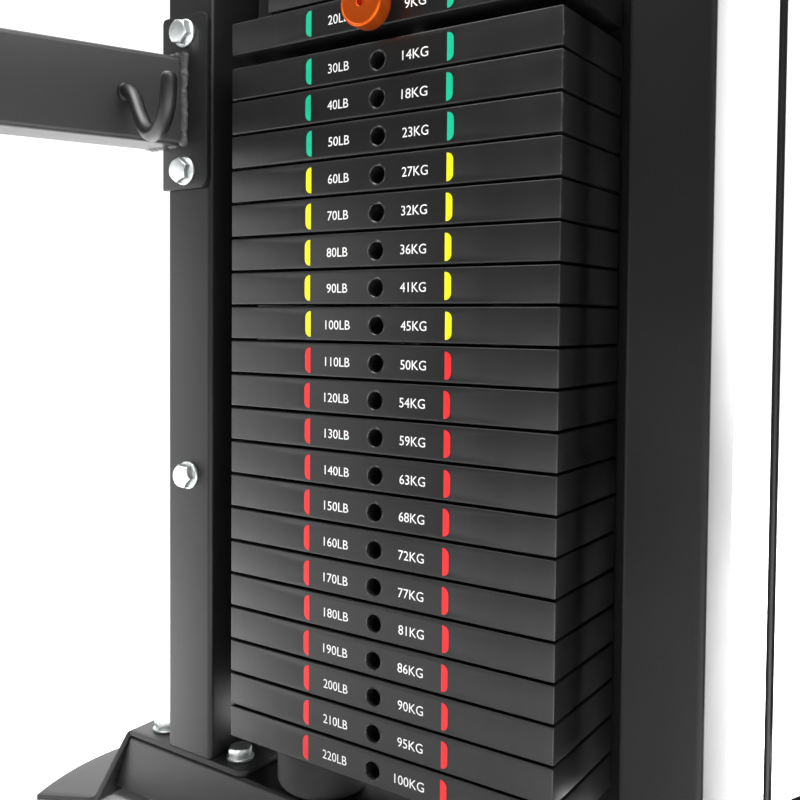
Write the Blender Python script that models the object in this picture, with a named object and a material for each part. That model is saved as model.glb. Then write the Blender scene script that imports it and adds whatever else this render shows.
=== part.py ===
"""Dual adjustable pulley multi gym: two weight-stack towers, a rear crossmember and a pull-up bar.

A tower is modelled in its own axes, x from its rear upright to its front, y outward and z up from the floor.
Two empties place the towers, and the left one mirrors the right one's shapes.
"""

from math import atan2, cos, pi, radians, sin, sqrt, tan

import bmesh
import bpy
from mathutils import Matrix, Vector

for old in list(bpy.data.objects):
    bpy.data.objects.remove(old, do_unlink=True)

# Fits
seat_gap = 0.0003  # between pieces that touch
weld = 0.0010  # how deep a welded piece runs into its neighbour
slide_gap = 0.0010  # around a rod or stem in its bore
pin_gap = 0.0004  # around a pin in its hole

# Overall
height = 2.100
tower_flare = radians(22.7)  # each tower opens outward toward the front
rear_half_span = 0.450  # middle of the gym to the centre of a rear upright
rear_set_back = 0.2460  # rear uprights behind the origin, which is at the middle of the depth

# Weight stack
plate_count = 20
plate_pitch = 0.0254
plate_width = 0.269
plate_depth = 0.094
plate_chamfer = 0.0012
head_plate_width = 0.197
rest_lift = 0.0100  # the cable holds the top two plates this far off the stack
stem_radius = 0.0125
pin_hole_radius = 0.0060
selector_pin_radius = 0.0043
knob_radius = 0.0160
knob_length = 0.0200
knob_stand_off = 0.0200
rod_radius = 0.0100
rod_spacing = 0.160
bumper_radius = 0.0360
bumper_height = 0.0364
bumper_round = 0.006

# Frame tubes
upright_spacing = 0.389
upright_width = 0.050
upright_depth = 0.056
upright_front = 0.034  # the uprights' front faces, from the tower's middle plane
tube_corner = 0.004
base_width = 0.070
base_height = 0.050
base_clearance = 0.010
front_foot_reach = 0.0115  # front foot's bend past the base's nominal end
base_ahead = 0.118  # base tube ahead of the slide column's centre
head_width = 0.080
head_depth = 0.135
head_behind = 0.035
head_ahead = 0.078
head_wall = 0.003

# Feet and flanges
flange_thickness = 0.0045
foot_flange_reach = 0.0735  # rear upright's centre to the bend
foot_flange_ahead = 0.062
foot_drop = 0.0246  # how far the sloping part reaches out
foot_toe_length = 0.0449
foot_toe_bulge = 0.0155
foot_half_widths = (0.0345, 0.0510, 0.0760)  # at the bend, the floor and the toe
foot_hole_radius = 0.006
front_flange_half = 0.046

# Pulleys and cable
cable_radius = 0.0024
cable_side_gap = 0.0278
pulley_pitch_radius = 0.0425
pulley_rim_height = 0.0050  # above the pitch radius
pulley_groove_depth = 0.0035  # below it
pulley_half_width = 0.0080
pulley_hub_half_width = 0.0100
pulley_bore = 0.0055
axle_radius = 0.0050
pulley_segments = 14
head_hole_radius = 0.007
upper_route_drop = 0.070  # below the top of the head beam
lower_route_drop = 0.115
lift_pulley_rise = 0.075  # above the head plate

# Slide column and trolley
column_width = 0.050
column_depth = 0.030  # along the tower
column_corner = 0.003
column_foot_height = 0.200
cheek_thickness = 0.006
hole_count = 15
hole_pitch = 0.100
first_hole = 0.360
rest_hole = 9
hole_radius = 0.0055
hole_depth = 0.010
trolley_half_height = 0.080
trolley_wall = 0.006
trolley_clearance = 0.0005
lug_thickness = 0.008
lug_half_width = 0.014
lug_inset = 0.010
bush_radius = 0.012
bush_length = 0.031
pop_pin_radius = 0.0050
pop_pin_travel = 0.010
pop_knob_radius = 0.016
pop_knob_length = 0.022

# Swivel head and handle
collar_radius = 0.0100
collar_bore = 0.0050
wrap_offset = 0.0052  # the handle's cable beside the standing one
guard_start = 0.012
guard_ahead = 0.0088  # ahead of the pulley's rim
guard_over = 0.0055  # above and below it
guard_inner = 0.0125
guard_thickness = 0.0040
guard_corner = 0.020
stop_inset = 0.0070  # the stop bar above the guards' lower edge
stop_thickness = 0.0050
stop_gap = 0.0015  # to the pulley's rim
ball_seat = 0.0030  # the ball's top inside the bar
stop_radius = 0.0140
eye_radius = 0.0090
wire_radius = 0.0025
ring_radius = 0.0140
strap_length = 0.130
strap_width = 0.024
strap_thickness = 0.0030
grip_radius = 0.0160
grip_length = 0.130

# Rear crossmember, hooks and pull-up bar
cross_height = 0.070
cross_thickness = 0.040
cross_bottom = 0.5555
cross_flange_bottom = 0.521
cross_flange_height = 0.137
cross_flange_thickness = 0.0047
hook_radius = 0.0058
hook_from_flange = 0.046
hook_level = 0.5912
pull_up_radius = 0.0170
pull_up_at = 0.280  # along the tower
pull_up_drop = 0.065
pull_up_kink = (0.30, 0.40)
pull_up_rise = 0.030
pull_up_flange = (0.090, 0.100, 0.006)

# Cover
cover_stand_off = 0.016
cover_overlap = 0.012  # past the middle of each upright
cover_thickness = 0.0015
cover_lip = 0.012
tab_width = 0.024
tab_height = 0.030
tab_levels = (0.30, 1.03, 1.76)

# Places that follow from the sizes
pulley_rim_radius = pulley_pitch_radius + pulley_rim_height
pulley_groove_radius = pulley_pitch_radius - pulley_groove_depth
guard_end = wrap_offset + pulley_pitch_radius + pulley_rim_radius + guard_ahead
guard_half_height = pulley_rim_radius + guard_over
stop_low = stop_inset - guard_half_height
ball_drop = stop_low - stop_radius + ball_seat
eye_drop = ball_drop - stop_radius - eye_radius + 0.001
handle_drop = eye_drop - eye_radius
base_top = base_clearance + base_height
head_bottom = height - head_depth
upright_middle = upright_depth / 2 - upright_front
stack_x = upright_spacing / 2
stack_bottom = base_top + bumper_height + 2 * seat_gap
stack_top = stack_bottom + plate_count * plate_pitch
lifted_bottom = stack_top + rest_lift
head_plate_bottom = lifted_bottom + plate_pitch
head_plate_top = head_plate_bottom + plate_pitch
cable_rear_x = upright_spacing + upright_width / 2 + cable_side_gap
column_x = cable_rear_x + pulley_pitch_radius
swivel_x = column_x + pulley_pitch_radius
base_pulley_z = base_top + pulley_rim_radius + 0.001
column_bottom = base_pulley_z + pulley_rim_radius + 0.014
lift_pulley_z = head_plate_top + lift_pulley_rise
trolley_z = first_hole + rest_hole * hole_pitch
base_end_x = column_x + base_ahead
rod_places = (stack_x - rod_spacing / 2, stack_x + rod_spacing / 2)

finishes = {}


def finish(name, colour, roughness, metallic=0.0):
    material = bpy.data.materials.new(name)
    material.use_nodes = True
    shader = material.node_tree.nodes["Principled BSDF"]
    shader.inputs["Base Color"].default_value = (*colour, 1)
    shader.inputs["Roughness"].default_value = roughness
    shader.inputs["Metallic"].default_value = metallic
    material.diffuse_color = (*colour, 1)
    finishes[name] = material


finish("black_powder_coat", (0.020, 0.020, 0.021), 0.45)
finish("satin_black_plate", (0.028, 0.028, 0.029), 0.42)
finish("chromed_steel", (0.75, 0.75, 0.76), 0.12, 1.0)
finish("orange_anodised", (0.80, 0.27, 0.04), 0.28, 0.9)
finish("grey_rubber", (0.060, 0.060, 0.060), 0.75)
finish("black_nylon", (0.016, 0.016, 0.017), 0.50)
finish("coated_cable", (0.018, 0.018, 0.020), 0.32)


def to_space(axis, point, along):
    """A point of an outline, and its place along the axis that the outline is swept on."""
    a, b = point
    return {"x": (along, a, b), "y": (a, along, b), "z": (a, b, along)}[axis]


def rounded(centre, size, radius, steps=2):
    """Outline of a rectangle with round corners."""
    points = []
    for corner, (side_a, side_b) in enumerate(((1, 1), (-1, 1), (-1, -1), (1, -1))):
        for step in range(steps + 1):
            angle = (corner + step / steps) * pi / 2
            points.append(
                (
                    centre[0] + side_a * (size[0] / 2 - radius) + radius * cos(angle),
                    centre[1] + side_b * (size[1] / 2 - radius) + radius * sin(angle),
                )
            )
    return points


def rectangle(low, high):
    return [(low[0], low[1]), (high[0], low[1]), (high[0], high[1]), (low[0], high[1])]


def circle(centre, radius, segments=12):
    angles = [2 * pi * (k + 0.5) / segments for k in range(segments)]
    return [(centre[0] + radius * cos(a), centre[1] + radius * sin(a)) for a in angles]


def prism(outline, start, end, axis="z"):
    """The outline swept along an axis."""
    bm = bmesh.new()
    bm.faces.new([bm.verts.new(to_space(axis, point, start)) for point in outline])
    swept = bmesh.ops.extrude_face_region(bm, geom=bm.faces[:])["geom"]
    moved = [item for item in swept if isinstance(item, bmesh.types.BMVert)]
    travel = Vector(to_space(axis, (0, 0), end - start))
    bmesh.ops.translate(bm, verts=moved, vec=travel)
    return bm


def block(low, high):
    return prism(rectangle(low[:2], high[:2]), low[2], high[2])


def turned(profile, segments, axis="z", centre=(0, 0, 0)):
    """A closed profile of (radius, height) points turned about an axis."""
    bm = bmesh.new()
    rings = []
    for radius, level in profile:
        places = [(0, 0)] if radius < 1e-6 else circle((0, 0), radius, segments)
        rings.append([bm.verts.new(Vector(to_space(axis, at, level)) + Vector(centre)) for at in places])
    for near, far in zip(rings, rings[1:] + rings[:1]):
        for k in range(segments):
            corners = [near[k % len(near)], near[(k + 1) % len(near)], far[(k + 1) % len(far)], far[k % len(far)]]
            corners = list(dict.fromkeys(corners))
            if len(corners) > 2:
                bm.faces.new(corners)
    return bm


def cylinder(radius, start, end, axis="z", centre=(0, 0), segments=12):
    return prism(circle(centre, radius, segments), start, end, axis)


def bore(radius, start, end, axis="z", centre=(0, 0), segments=6):
    """A cutter whose flats clear a round bar of this radius."""
    return cylinder(radius / cos(pi / segments), start, end, axis, centre, segments)


def moved(bm, matrix):
    bmesh.ops.transform(bm, matrix=matrix, verts=bm.verts)
    return bm


def arc(centre, radius, start, end, steps):
    """Points on an arc in the x-z plane, angles in degrees from +x."""
    angles = [radians(start + (end - start) * k / steps) for k in range(steps + 1)]
    return [(centre[0] + radius * cos(a), 0, centre[1] + radius * sin(a)) for a in angles]


def bent_rod(points, radius, resolution=2, closed=False, tip=()):
    """A round rod or cable along points; tip holds shares of the radius for its last points."""
    curve = bpy.data.curves.new("rod", "CURVE")
    curve.dimensions = "3D"
    spline = curve.splines.new("POLY")
    spline.points.add(len(points) - 1)
    for place, point in zip(spline.points, points):
        place.co = (*point, 1)
    for place, share in zip(reversed(spline.points), reversed(tip)):
        place.radius = share
    spline.use_cyclic_u = closed
    curve.bevel_depth = radius
    curve.bevel_resolution = resolution
    curve.use_fill_caps = not closed
    guide = bpy.data.objects.new("rod", curve)
    bpy.context.collection.objects.link(guide)
    bpy.context.view_layer.update()
    bm = bmesh.new()
    bm.from_mesh(guide.evaluated_get(bpy.context.evaluated_depsgraph_get()).to_mesh())
    bpy.data.objects.remove(guide)
    bmesh.ops.remove_doubles(bm, verts=bm.verts, dist=1e-6)
    return bm


def to_object(bm, name):
    mesh = bpy.data.meshes.new(name)
    bm.to_mesh(mesh)
    bm.free()
    holder = bpy.data.objects.new(name, mesh)
    bpy.context.collection.objects.link(holder)
    return holder


def from_object(holder):
    """The holder's evaluated shape, as a bmesh; the holder is removed."""
    bpy.context.view_layer.update()
    bm = bmesh.new()
    bm.from_mesh(holder.evaluated_get(bpy.context.evaluated_depsgraph_get()).to_mesh())
    bpy.data.objects.remove(holder)
    return bm


def combined(body, join=(), cut=(), within=()):
    """One solid: the body, with solids welded to it, others cut from it, and what lies outside others left off."""
    for solid in (body, *join, *cut, *within):
        bmesh.ops.recalc_face_normals(solid, faces=solid.faces)
    work = to_object(body, "work")
    tools = []
    for operation, solids in (("UNION", join), ("DIFFERENCE", cut), ("INTERSECT", within)):
        for solid in solids:
            tool = to_object(solid, "tool")
            tool.hide_render = True
            tool.display_type = "WIRE"
            tools.append(tool)
            step = work.modifiers.new(operation, "BOOLEAN")
            step.operation = operation
            step.object = tool
    result = from_object(work)
    for tool in tools:
        bpy.data.objects.remove(tool)
    bmesh.ops.dissolve_limit(result, angle_limit=radians(0.2), verts=result.verts, edges=result.edges)
    return result


def as_mesh(bm, name):
    bmesh.ops.recalc_face_normals(bm, faces=bm.faces)
    mesh = bpy.data.meshes.new(name)
    bm.to_mesh(mesh)
    bm.free()
    mesh.shade_smooth()
    mesh.set_sharp_from_angle(angle=radians(32))
    return mesh


def piece(name, shape, material, parent=None, place=(0, 0, 0)):
    mesh = shape if isinstance(shape, bpy.types.Mesh) else as_mesh(shape, name)
    if not mesh.materials:
        mesh.materials.append(finishes[material])
    node = bpy.data.objects.new(name, mesh)
    bpy.context.collection.objects.link(node)
    node.parent = parent
    node.location = place
    return node


# Frame members


def square_tube(centre, size, start, end, corner=tube_corner):
    return prism(rounded(centre, size, corner), start, end)


def foot_slope_inside(flange_bottom, reach):
    """Where the inner face of a foot plate's slope meets its flange."""
    return flange_thickness * tan(atan2(flange_bottom, foot_drop) / 2) - reach


def foot_plate(flange_bottom, reach, ahead):
    """The bent floor plate: a flange on the base tube, a slope and a toe, facing -x."""
    top = flange_bottom + flange_thickness
    floor = flange_thickness
    half_bend, half_floor, half_toe = foot_half_widths
    bend_x = -reach
    floor_x = bend_x - foot_drop
    toe_x = floor_x - foot_toe_length
    tip_x = toe_x - foot_toe_bulge
    shift = foot_slope_inside(flange_bottom, reach) + reach
    upper = [(ahead, top), (bend_x, top), (floor_x, floor), (tip_x - 0.01, floor)]
    lower = [(tip_x - 0.01, 0), (floor_x + shift, 0), (bend_x + shift, flange_bottom), (ahead, flange_bottom)]
    strip = prism(upper + lower, -half_toe, half_toe, "y")
    corner = 0.010
    edge = [(ahead, half_bend - corner), (ahead - corner, half_bend), (bend_x, half_bend), (floor_x, half_floor)]
    steps = 8
    toe = [1 - 2 * k / steps for k in range(steps + 1)]
    plan = edge + [(toe_x - foot_toe_bulge * (1 - share**2), half_toe * share) for share in toe]
    plan += [(x, -y) for x, y in reversed(edge)]
    drill = bore(foot_hole_radius, -0.01, 0.02, "z", (toe_x + 0.011, 0))
    return combined(strip, cut=[drill], within=[prism(plan, -0.01, top + 0.01)])


def cover_tabs(x):
    """Blocks on an upright's outer face that carry the cover."""
    inner = upright_depth - upright_front - weld
    outer = upright_front + cover_stand_off
    half = tab_width / 2
    return [block((x - half, inner, z), (x + half, outer, z + tab_height)) for z in tab_levels]


def rear_upright():
    start = base_top + seat_gap
    tube = square_tube((0, upright_middle), (upright_width, upright_depth), start, head_bottom - seat_gap)
    foot = foot_plate(start, foot_flange_reach, foot_flange_ahead)
    return combined(tube, join=[foot, *cover_tabs(0)])


def front_upright():
    x = upright_spacing
    start = base_top + seat_gap
    tube = square_tube((x, upright_middle), (upright_width, upright_depth), start, head_bottom - seat_gap)
    outline = rounded((x, 0), (2 * front_flange_half, 2 * foot_half_widths[0]), 0.008)
    flange = prism(outline, start, start + flange_thickness)
    return combined(tube, join=[flange, *cover_tabs(x)])


def base():
    outline = rounded((0, base_clearance + base_height / 2), (base_width, base_height), tube_corner)
    tube = prism(outline, -0.2, base_end_x + 0.2, "x")
    under = base_top - seat_gap
    foot = foot_plate(under, front_foot_reach, foot_flange_ahead)
    turn = Matrix.Translation((base_end_x, 0, 0)) @ Matrix.Rotation(pi, 4, "Z")
    # both ends are cut along the slopes of the foot plates, the rear one just clear of its plate
    lean = foot_drop / under
    rear = foot_slope_inside(under, foot_flange_reach) + 2 * seat_gap
    front = base_end_x - foot_slope_inside(under, front_foot_reach) + weld
    low, high = -under, 0.01
    side = [(rear + lean * low, 0), (front - lean * low, 0), (front - lean * high, under + high)]
    side.append((rear + lean * high, under + high))
    tube = combined(tube, within=[prism(side, -base_width, base_width, "y")])
    return combined(tube, join=[moved(foot, turn)])


def slide_column():
    half = column_width / 2
    size = (column_depth, column_width)
    tube = square_tube((column_x, 0), size, column_bottom, head_bottom - seat_gap, column_corner)
    start = base_top + seat_gap
    narrow = column_depth / 2 - weld
    edge = [(0.030, start), (0.030, start + 0.030), (narrow, start + 0.075), (narrow, start + column_foot_height)]
    cheek = [(column_x + x, z) for x, z in edge] + [(column_x - x, z) for x, z in reversed(edge)]
    parts = []
    for side in (-1, 1):
        low, high = sorted((side * (half - weld), side * (half + cheek_thickness)))
        parts.append(prism(cheek, low, high, "y"))
        low, high = sorted((side * half, side * (base_width / 2 - 0.001)))
        parts.append(block((column_x - 0.030, low, start), (column_x + 0.030, high, start + 0.005)))
    parts.append(cylinder(axle_radius, -half, half, "y", (column_x, base_pulley_z)))
    levels = [first_hole + k * hole_pitch for k in range(hole_count)]
    drills = [bore(hole_radius, half - hole_depth, half + 0.01, "y", (column_x, z), 6) for z in levels]
    return combined(tube, join=parts, cut=drills)


def head_beam():
    """A closed box that hides the guide pulleys; the cable enters by four holes."""
    start, end = -head_behind, column_x + head_ahead
    middle = height - head_depth / 2
    outside = prism(rounded((0, middle), (head_width, head_depth), 0.006), start, end, "x")
    half = head_width / 2 - head_wall
    inside = block((start + head_wall, -half, head_bottom + head_wall), (end - head_wall, half, height - head_wall))
    places = (*lift_runs, cable_rear_x, swivel_x)
    drills = [bore(head_hole_radius, head_bottom - 0.01, head_bottom + 0.01, "z", (x, 0)) for x in places]
    return combined(outside, cut=[inside, *drills])


def cover():
    """The flat outer cover, with its edges folded outward."""
    near = upright_front + cover_stand_off + seat_gap
    start, end = -cover_overlap, upright_spacing + cover_overlap
    low, high = base_top + 0.010, head_bottom - 0.010
    panel = block((start, near, low), (end, near + cover_thickness, high))
    lips = []
    for x in (start, end - cover_thickness):
        lips.append(block((x, near, low), (x + cover_thickness, near + cover_lip, high)))
    for z in (low, high - cover_thickness):
        lips.append(block((start, near, z), (end, near + cover_lip, z + cover_thickness)))
    return combined(panel, join=lips)


# Weight stack


def plate_stack(width, bottom, count=1):
    """Plates with chamfered upper edges as one solid, grooved all round where one ends and the next starts."""
    bm = bmesh.new()
    rings = []
    for k in range(count):
        low = bottom + k * plate_pitch + (plate_chamfer if k else seat_gap)
        high = bottom + (k + 1) * plate_pitch
        for level, inset in ((low, 0), (high - plate_chamfer, 0), (high, plate_chamfer)):
            half = (width / 2 - inset, plate_depth / 2 - inset)
            outline = rectangle((stack_x - half[0], -half[1]), (stack_x + half[0], half[1]))
            rings.append([bm.verts.new((*point, level)) for point in outline])
    bm.faces.new(rings[0])
    bm.faces.new(rings[-1])
    for near, far in zip(rings, rings[1:]):
        for k in range(4):
            bm.faces.new((near[k - 1], near[k], far[k], far[k - 1]))
    return bm


def pin_hole(bottom, end=0.0):
    return bore(pin_hole_radius, -plate_depth / 2 - 0.01, end, "y", (stack_x, bottom + plate_pitch / 2))


def stem_bore(low, high):
    return bore(stem_radius + slide_gap, low, high, "z", (stack_x, 0))


def rod_bores(low, high):
    return [bore(rod_radius + slide_gap, low, high, "z", (x, 0)) for x in rod_places]


def weight_plate(bottom=0.0):
    reach = (bottom - 0.01, bottom + plate_pitch + 0.01)
    cuts = [*rod_bores(*reach), stem_bore(*reach), pin_hole(bottom)]
    return combined(plate_stack(plate_width, bottom), cut=cuts)


def head_assembly(stem_holes=plate_count + 1):
    """The head plate, the selector stem below it and the pulley cheeks above it."""
    body = plate_stack(head_plate_width, head_plate_bottom)
    stem_bottom = lifted_bottom - plate_count * plate_pitch + 0.006
    stem = cylinder(stem_radius, stem_bottom, head_plate_bottom + 0.004, "z", (stack_x, 0), 8)
    half = pulley_hub_half_width + 0.0010
    top = head_plate_top - weld
    cheek_top = lift_pulley_z + 0.022
    cheek_height = cheek_top - top
    parts = [stem]
    for side in (-1, 1):
        low, high = sorted((side * half, side * (half + 0.005)))
        outline = rounded((stack_x, top + cheek_height / 2), (0.044, cheek_height), 0.010)
        parts.append(prism(outline, low, high, "y"))
        low, high = sorted((side * half, side * (half + 0.022)))
        parts.append(block((stack_x - 0.030, low, top), (stack_x + 0.030, high, top + 0.006)))
    parts.append(cylinder(axle_radius, -half - 0.002, half + 0.002, "y", (stack_x, lift_pulley_z), 10))
    cuts = rod_bores(head_plate_bottom - 0.01, head_plate_top + 0.01)
    for k in range(stem_holes):
        level = lifted_bottom + (0.5 - k) * plate_pitch
        cuts.append(bore(selector_pin_radius + pin_gap, -0.02, 0.02, "y", (stack_x, level)))
    return combined(body, join=parts, cut=cuts)


def resting_stack():
    """The other tower's plates with their bumpers and guide rods."""
    plates = plate_stack(plate_width, stack_bottom, plate_count)
    rods = [
        cylinder(rod_radius, base_top + seat_gap, head_bottom - seat_gap, "z", (x, 0)) for x in rod_places
    ]
    pads = [
        moved(bumper(bumper_height + 2 * weld, rod_radius - weld), Matrix.Translation((x, 0, 0))) for x in rod_places
    ]
    cuts = [stem_bore(base_top + 0.01, stack_top + 0.02)]
    deepest = -stem_radius - slide_gap - 0.005
    cuts += [pin_hole(stack_bottom + k * plate_pitch, deepest) for k in range(plate_count)]
    return combined(plates, join=[*rods, *pads], cut=cuts)


def guide_rod():
    return cylinder(rod_radius, base_top + seat_gap, head_bottom - seat_gap)


def bumper(tall=bumper_height, inner=rod_radius + seat_gap):
    low = base_top + seat_gap
    high = low + tall
    outer = bumper_radius
    soft = bumper_round
    profile = [(inner, low), (outer - soft, low), (outer, low + soft)]
    profile += [(outer, high - soft), (outer - soft, high), (inner, high)]
    return turned(profile, 16)


def selector_pin():
    """A pin with a round knob, its origin on the pin's axis at the plate's front."""
    reach = plate_depth / 2 + stem_radius
    knob_end = -knob_stand_off - knob_length
    profile = [(0, reach), (selector_pin_radius - 0.0015, reach), (selector_pin_radius, reach - 0.003)]
    profile += [(selector_pin_radius, -knob_stand_off), (knob_radius, -knob_stand_off)]
    profile += [(knob_radius, knob_end + 0.0015), (knob_radius - 0.0015, knob_end)]
    profile += [(0.0030, knob_end), (0.0030, knob_end + 0.004), (0, knob_end + 0.004)]
    return turned(profile, 14, "y")


# Pulleys, cable and trolley


def pulley():
    rim, half = pulley_rim_radius, pulley_half_width
    right = [(pulley_bore, pulley_hub_half_width), (0.0140, pulley_hub_half_width), (0.0160, half)]
    right += [(rim, half), (rim, 0.0058), (pulley_groove_radius, 0.0021)]
    left = [(radius, -level) for radius, level in reversed(right)]
    return turned([*right, *left], pulley_segments, "y")


def cable_route():
    """The whole cable of a tower: both runs at the column, the route in the head beam and the lift loop."""
    r = pulley_pitch_radius
    upper, lower = height - upper_route_drop, height - lower_route_drop
    left_run, right_run = lift_runs
    points = arc((column_x, base_pulley_z), r, 180, 360, 9)
    points += arc((column_x, upper), r, 0, 90, 3)
    points += arc((left_run + r, upper), r, 90, 180, 3)
    points += arc((stack_x, lift_pulley_z), r, 180, 360, 9)
    points += arc((right_run + r, lower), r, 180, 90, 3)
    points += arc((cable_rear_x - r, lower), r, 90, 0, 3)
    return bent_rod(points, cable_radius, 2, closed=True)


def trolley():
    """The sleeve on the column, with two lugs for the swivel and a bush for the pop pin. Its origin is on the column."""
    inner_x, inner_y = column_depth / 2 + trolley_clearance, column_width / 2 + trolley_clearance
    outer_x, outer_y = inner_x + trolley_wall, inner_y + trolley_wall
    height_half = trolley_half_height
    outside = prism(rounded((0, 0), (2 * outer_x, 2 * outer_y), 0.006), -height_half, height_half)
    lug_x = pulley_pitch_radius
    lugs = []
    for side in (-1, 1):
        low, high = sorted((side * (height_half - lug_inset), side * (height_half - lug_inset - lug_thickness)))
        outline = [(outer_x - weld, -lug_half_width), (lug_x, -lug_half_width)]
        outline += [
            (lug_x + lug_half_width * cos(a), lug_half_width * sin(a)) for a in (radians(k * 45 - 45) for k in range(3))
        ]
        outline += [(lug_x, lug_half_width), (outer_x - weld, lug_half_width)]
        lugs.append(prism(outline, low, high))
    bush = cylinder(bush_radius, outer_y - weld, inner_y + bush_length, "y")
    cuts = [block((-inner_x, -inner_y, -height_half - 0.01), (inner_x, inner_y, height_half + 0.01))]
    cuts.append(bore(pop_pin_radius + pin_gap, 0, inner_y + bush_length + 0.01, "y"))
    cuts.append(bore(collar_bore, -height_half, height_half, "z", (lug_x, 0)))
    return combined(outside, join=[*lugs, bush], cut=cuts)


def pop_pin():
    """Shown drawn clear of the column; its origin is at the column's outer face."""
    tip = 0.0008
    knob = trolley_clearance + bush_length + pop_pin_travel + 0.0005
    end = knob + pop_knob_length
    profile = [(0, tip), (pop_pin_radius - 0.001, tip), (pop_pin_radius, tip + 0.0015), (pop_pin_radius, knob)]
    profile += [(pop_knob_radius - 0.005, knob), (pop_knob_radius, knob + 0.006), (pop_knob_radius, end - 0.003)]
    profile += [(pop_knob_radius - 0.003, end), (0, end)]
    return turned(profile, 12, "y")


def swivel():
    """Guards, collars, the handle's cable over the pulley and the stop ball. Its origin is on the swivel's axis."""
    lug_inside = trolley_half_height - lug_inset - lug_thickness
    collar_start = guard_half_height - 0.0035
    centre_x = wrap_offset + pulley_pitch_radius
    front_x = centre_x + pulley_pitch_radius
    parts = []
    for side in (-1, 1):
        low, high = sorted((side * guard_inner, side * (guard_inner + guard_thickness)))
        outline = rounded(
            ((guard_start + guard_end) / 2, 0), (guard_end - guard_start, 2 * guard_half_height), guard_corner
        )
        parts.append(prism(outline, low, high, "y"))
        low, high = sorted((side * collar_start, side * (lug_inside - seat_gap)))
        parts.append(cylinder(collar_radius, low, high, segments=8))
        low, high = sorted((side * collar_start, side * guard_half_height))
        neck, wide = collar_radius - 0.0005, guard_inner + guard_thickness - 0.0005
        reach = guard_start + guard_corner
        arm = [(0, neck), (guard_start, neck), (guard_start + 0.005, wide), (reach, wide)]
        parts.append(prism(arm + [(x, -y) for x, y in reversed(arm)], low, high))
    stop_high = stop_low + stop_thickness
    stop_start = centre_x + sqrt((pulley_rim_radius + stop_gap) ** 2 - stop_high**2)
    corners = (stop_start, -guard_inner - weld, stop_low), (guard_end - guard_thickness, guard_inner + weld, stop_high)
    parts.append(block(*corners))
    parts.append(cylinder(axle_radius, -guard_inner - weld, guard_inner + weld, "y", (centre_x, 0), 8))
    frame = combined(parts[0], join=parts[1:], cut=[bore(collar_bore, -lug_inside, lug_inside)])
    run = [(wrap_offset, 0, -0.040), *arc((centre_x, 0), pulley_pitch_radius, 180, 0, 9), (front_x, 0, ball_drop)]
    parts = [bent_rod(run, cable_radius)]
    ball = [(stop_radius * sin(a), -stop_radius * cos(a)) for a in (pi * k / 5 for k in range(1, 5))]
    ball = [(0, -stop_radius), *ball, (0, stop_radius)]
    parts.append(turned(ball, 8, "z", (front_x, 0, ball_drop)))
    parts.append(ring(eye_radius, "x", (front_x, 0, eye_drop)))
    return combined(frame, join=parts)


def ring(radius, axis, centre):
    """A wire ring whose hole faces along the axis."""
    points = []
    for k in range(8):
        a = pi * k / 4
        u, v = radius * cos(a), radius * sin(a)
        offset = Vector({"x": (0, u, v), "y": (u, 0, v)}[axis])
        points.append(Vector(centre) + offset)
    return bent_rod(points, wire_radius, 1, closed=True)


def handle():
    """Ring, strap and grip; its origin is the wire that the ring hangs on."""
    ring_z = 2 * wire_radius + seat_gap - ring_radius
    strap_top = ring_z - ring_radius - wire_radius + 0.001
    grip_z = strap_top - strap_length
    half_out = grip_length / 2 + strap_thickness
    outer = [(-0.010, strap_top + 0.004), (0.010, strap_top + 0.004), (half_out, grip_z + 0.012)]
    outer += [(half_out, grip_z - 0.014), (-half_out, grip_z - 0.014), (-half_out, grip_z + 0.012)]
    inner = [(0.0, strap_top - 0.010), (grip_length / 2, grip_z + 0.010), (grip_length / 2, grip_z - 0.020)]
    inner += [(-grip_length / 2, grip_z - 0.020), (-grip_length / 2, grip_z + 0.010)]
    strap = prism(outer, -strap_width / 2, strap_width / 2, "x")
    window = prism(inner, -strap_width, strap_width, "x")
    grip = cylinder(grip_radius, -grip_length / 2 - weld, grip_length / 2 + weld, "y", (0, grip_z), 12)
    body = combined(strap, cut=[window])
    return combined(body, join=[grip, ring(ring_radius, "y", (0, 0, ring_z))])


# Pieces that join the towers


def crossmember(tower):
    """The rear tube, mitred to the flanges of both towers, with a hook near each end."""
    face_y = -upright_front - seat_gap
    flange_face = tower @ Vector((0, face_y - cross_flange_thickness, 0))
    front_y = flange_face.y
    end_normal = (tower.to_3x3() @ Vector((0, 1, 0))).normalized()
    end_point = tower @ Vector((0, face_y - seat_gap, 0))

    def end_at(y):
        return end_point.x - (y - end_point.y) * end_normal.y / end_normal.x

    centre = (front_y + cross_thickness / 2, cross_bottom + cross_height / 2)
    outline = rounded(centre, (cross_thickness, cross_height), tube_corner)
    bm = bmesh.new()
    right = [bm.verts.new((end_at(y), y, z)) for y, z in outline]
    left = [bm.verts.new((-end_at(y), y, z)) for y, z in outline]
    bm.faces.new(right)
    bm.faces.new(left)
    for k in range(len(outline)):
        bm.faces.new((right[k - 1], right[k], left[k], left[k - 1]))
    parts = []
    for mirror in (1, -1):
        middle = cross_flange_bottom + cross_flange_height / 2
        outline = rounded((0, middle), (upright_width, cross_flange_height), 0.008)
        flange = moved(prism(outline, face_y - cross_flange_thickness, face_y, "y"), tower)
        hook = hook_shape(flange_face.x - hook_from_flange, front_y)
        for solid in (flange, hook):
            if mirror < 0:
                moved(solid, Matrix.Scale(-1, 4, (1, 0, 0)))
            parts.append(solid)
    return combined(bm, join=[*parts[1::2], *parts[0::2]])


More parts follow.
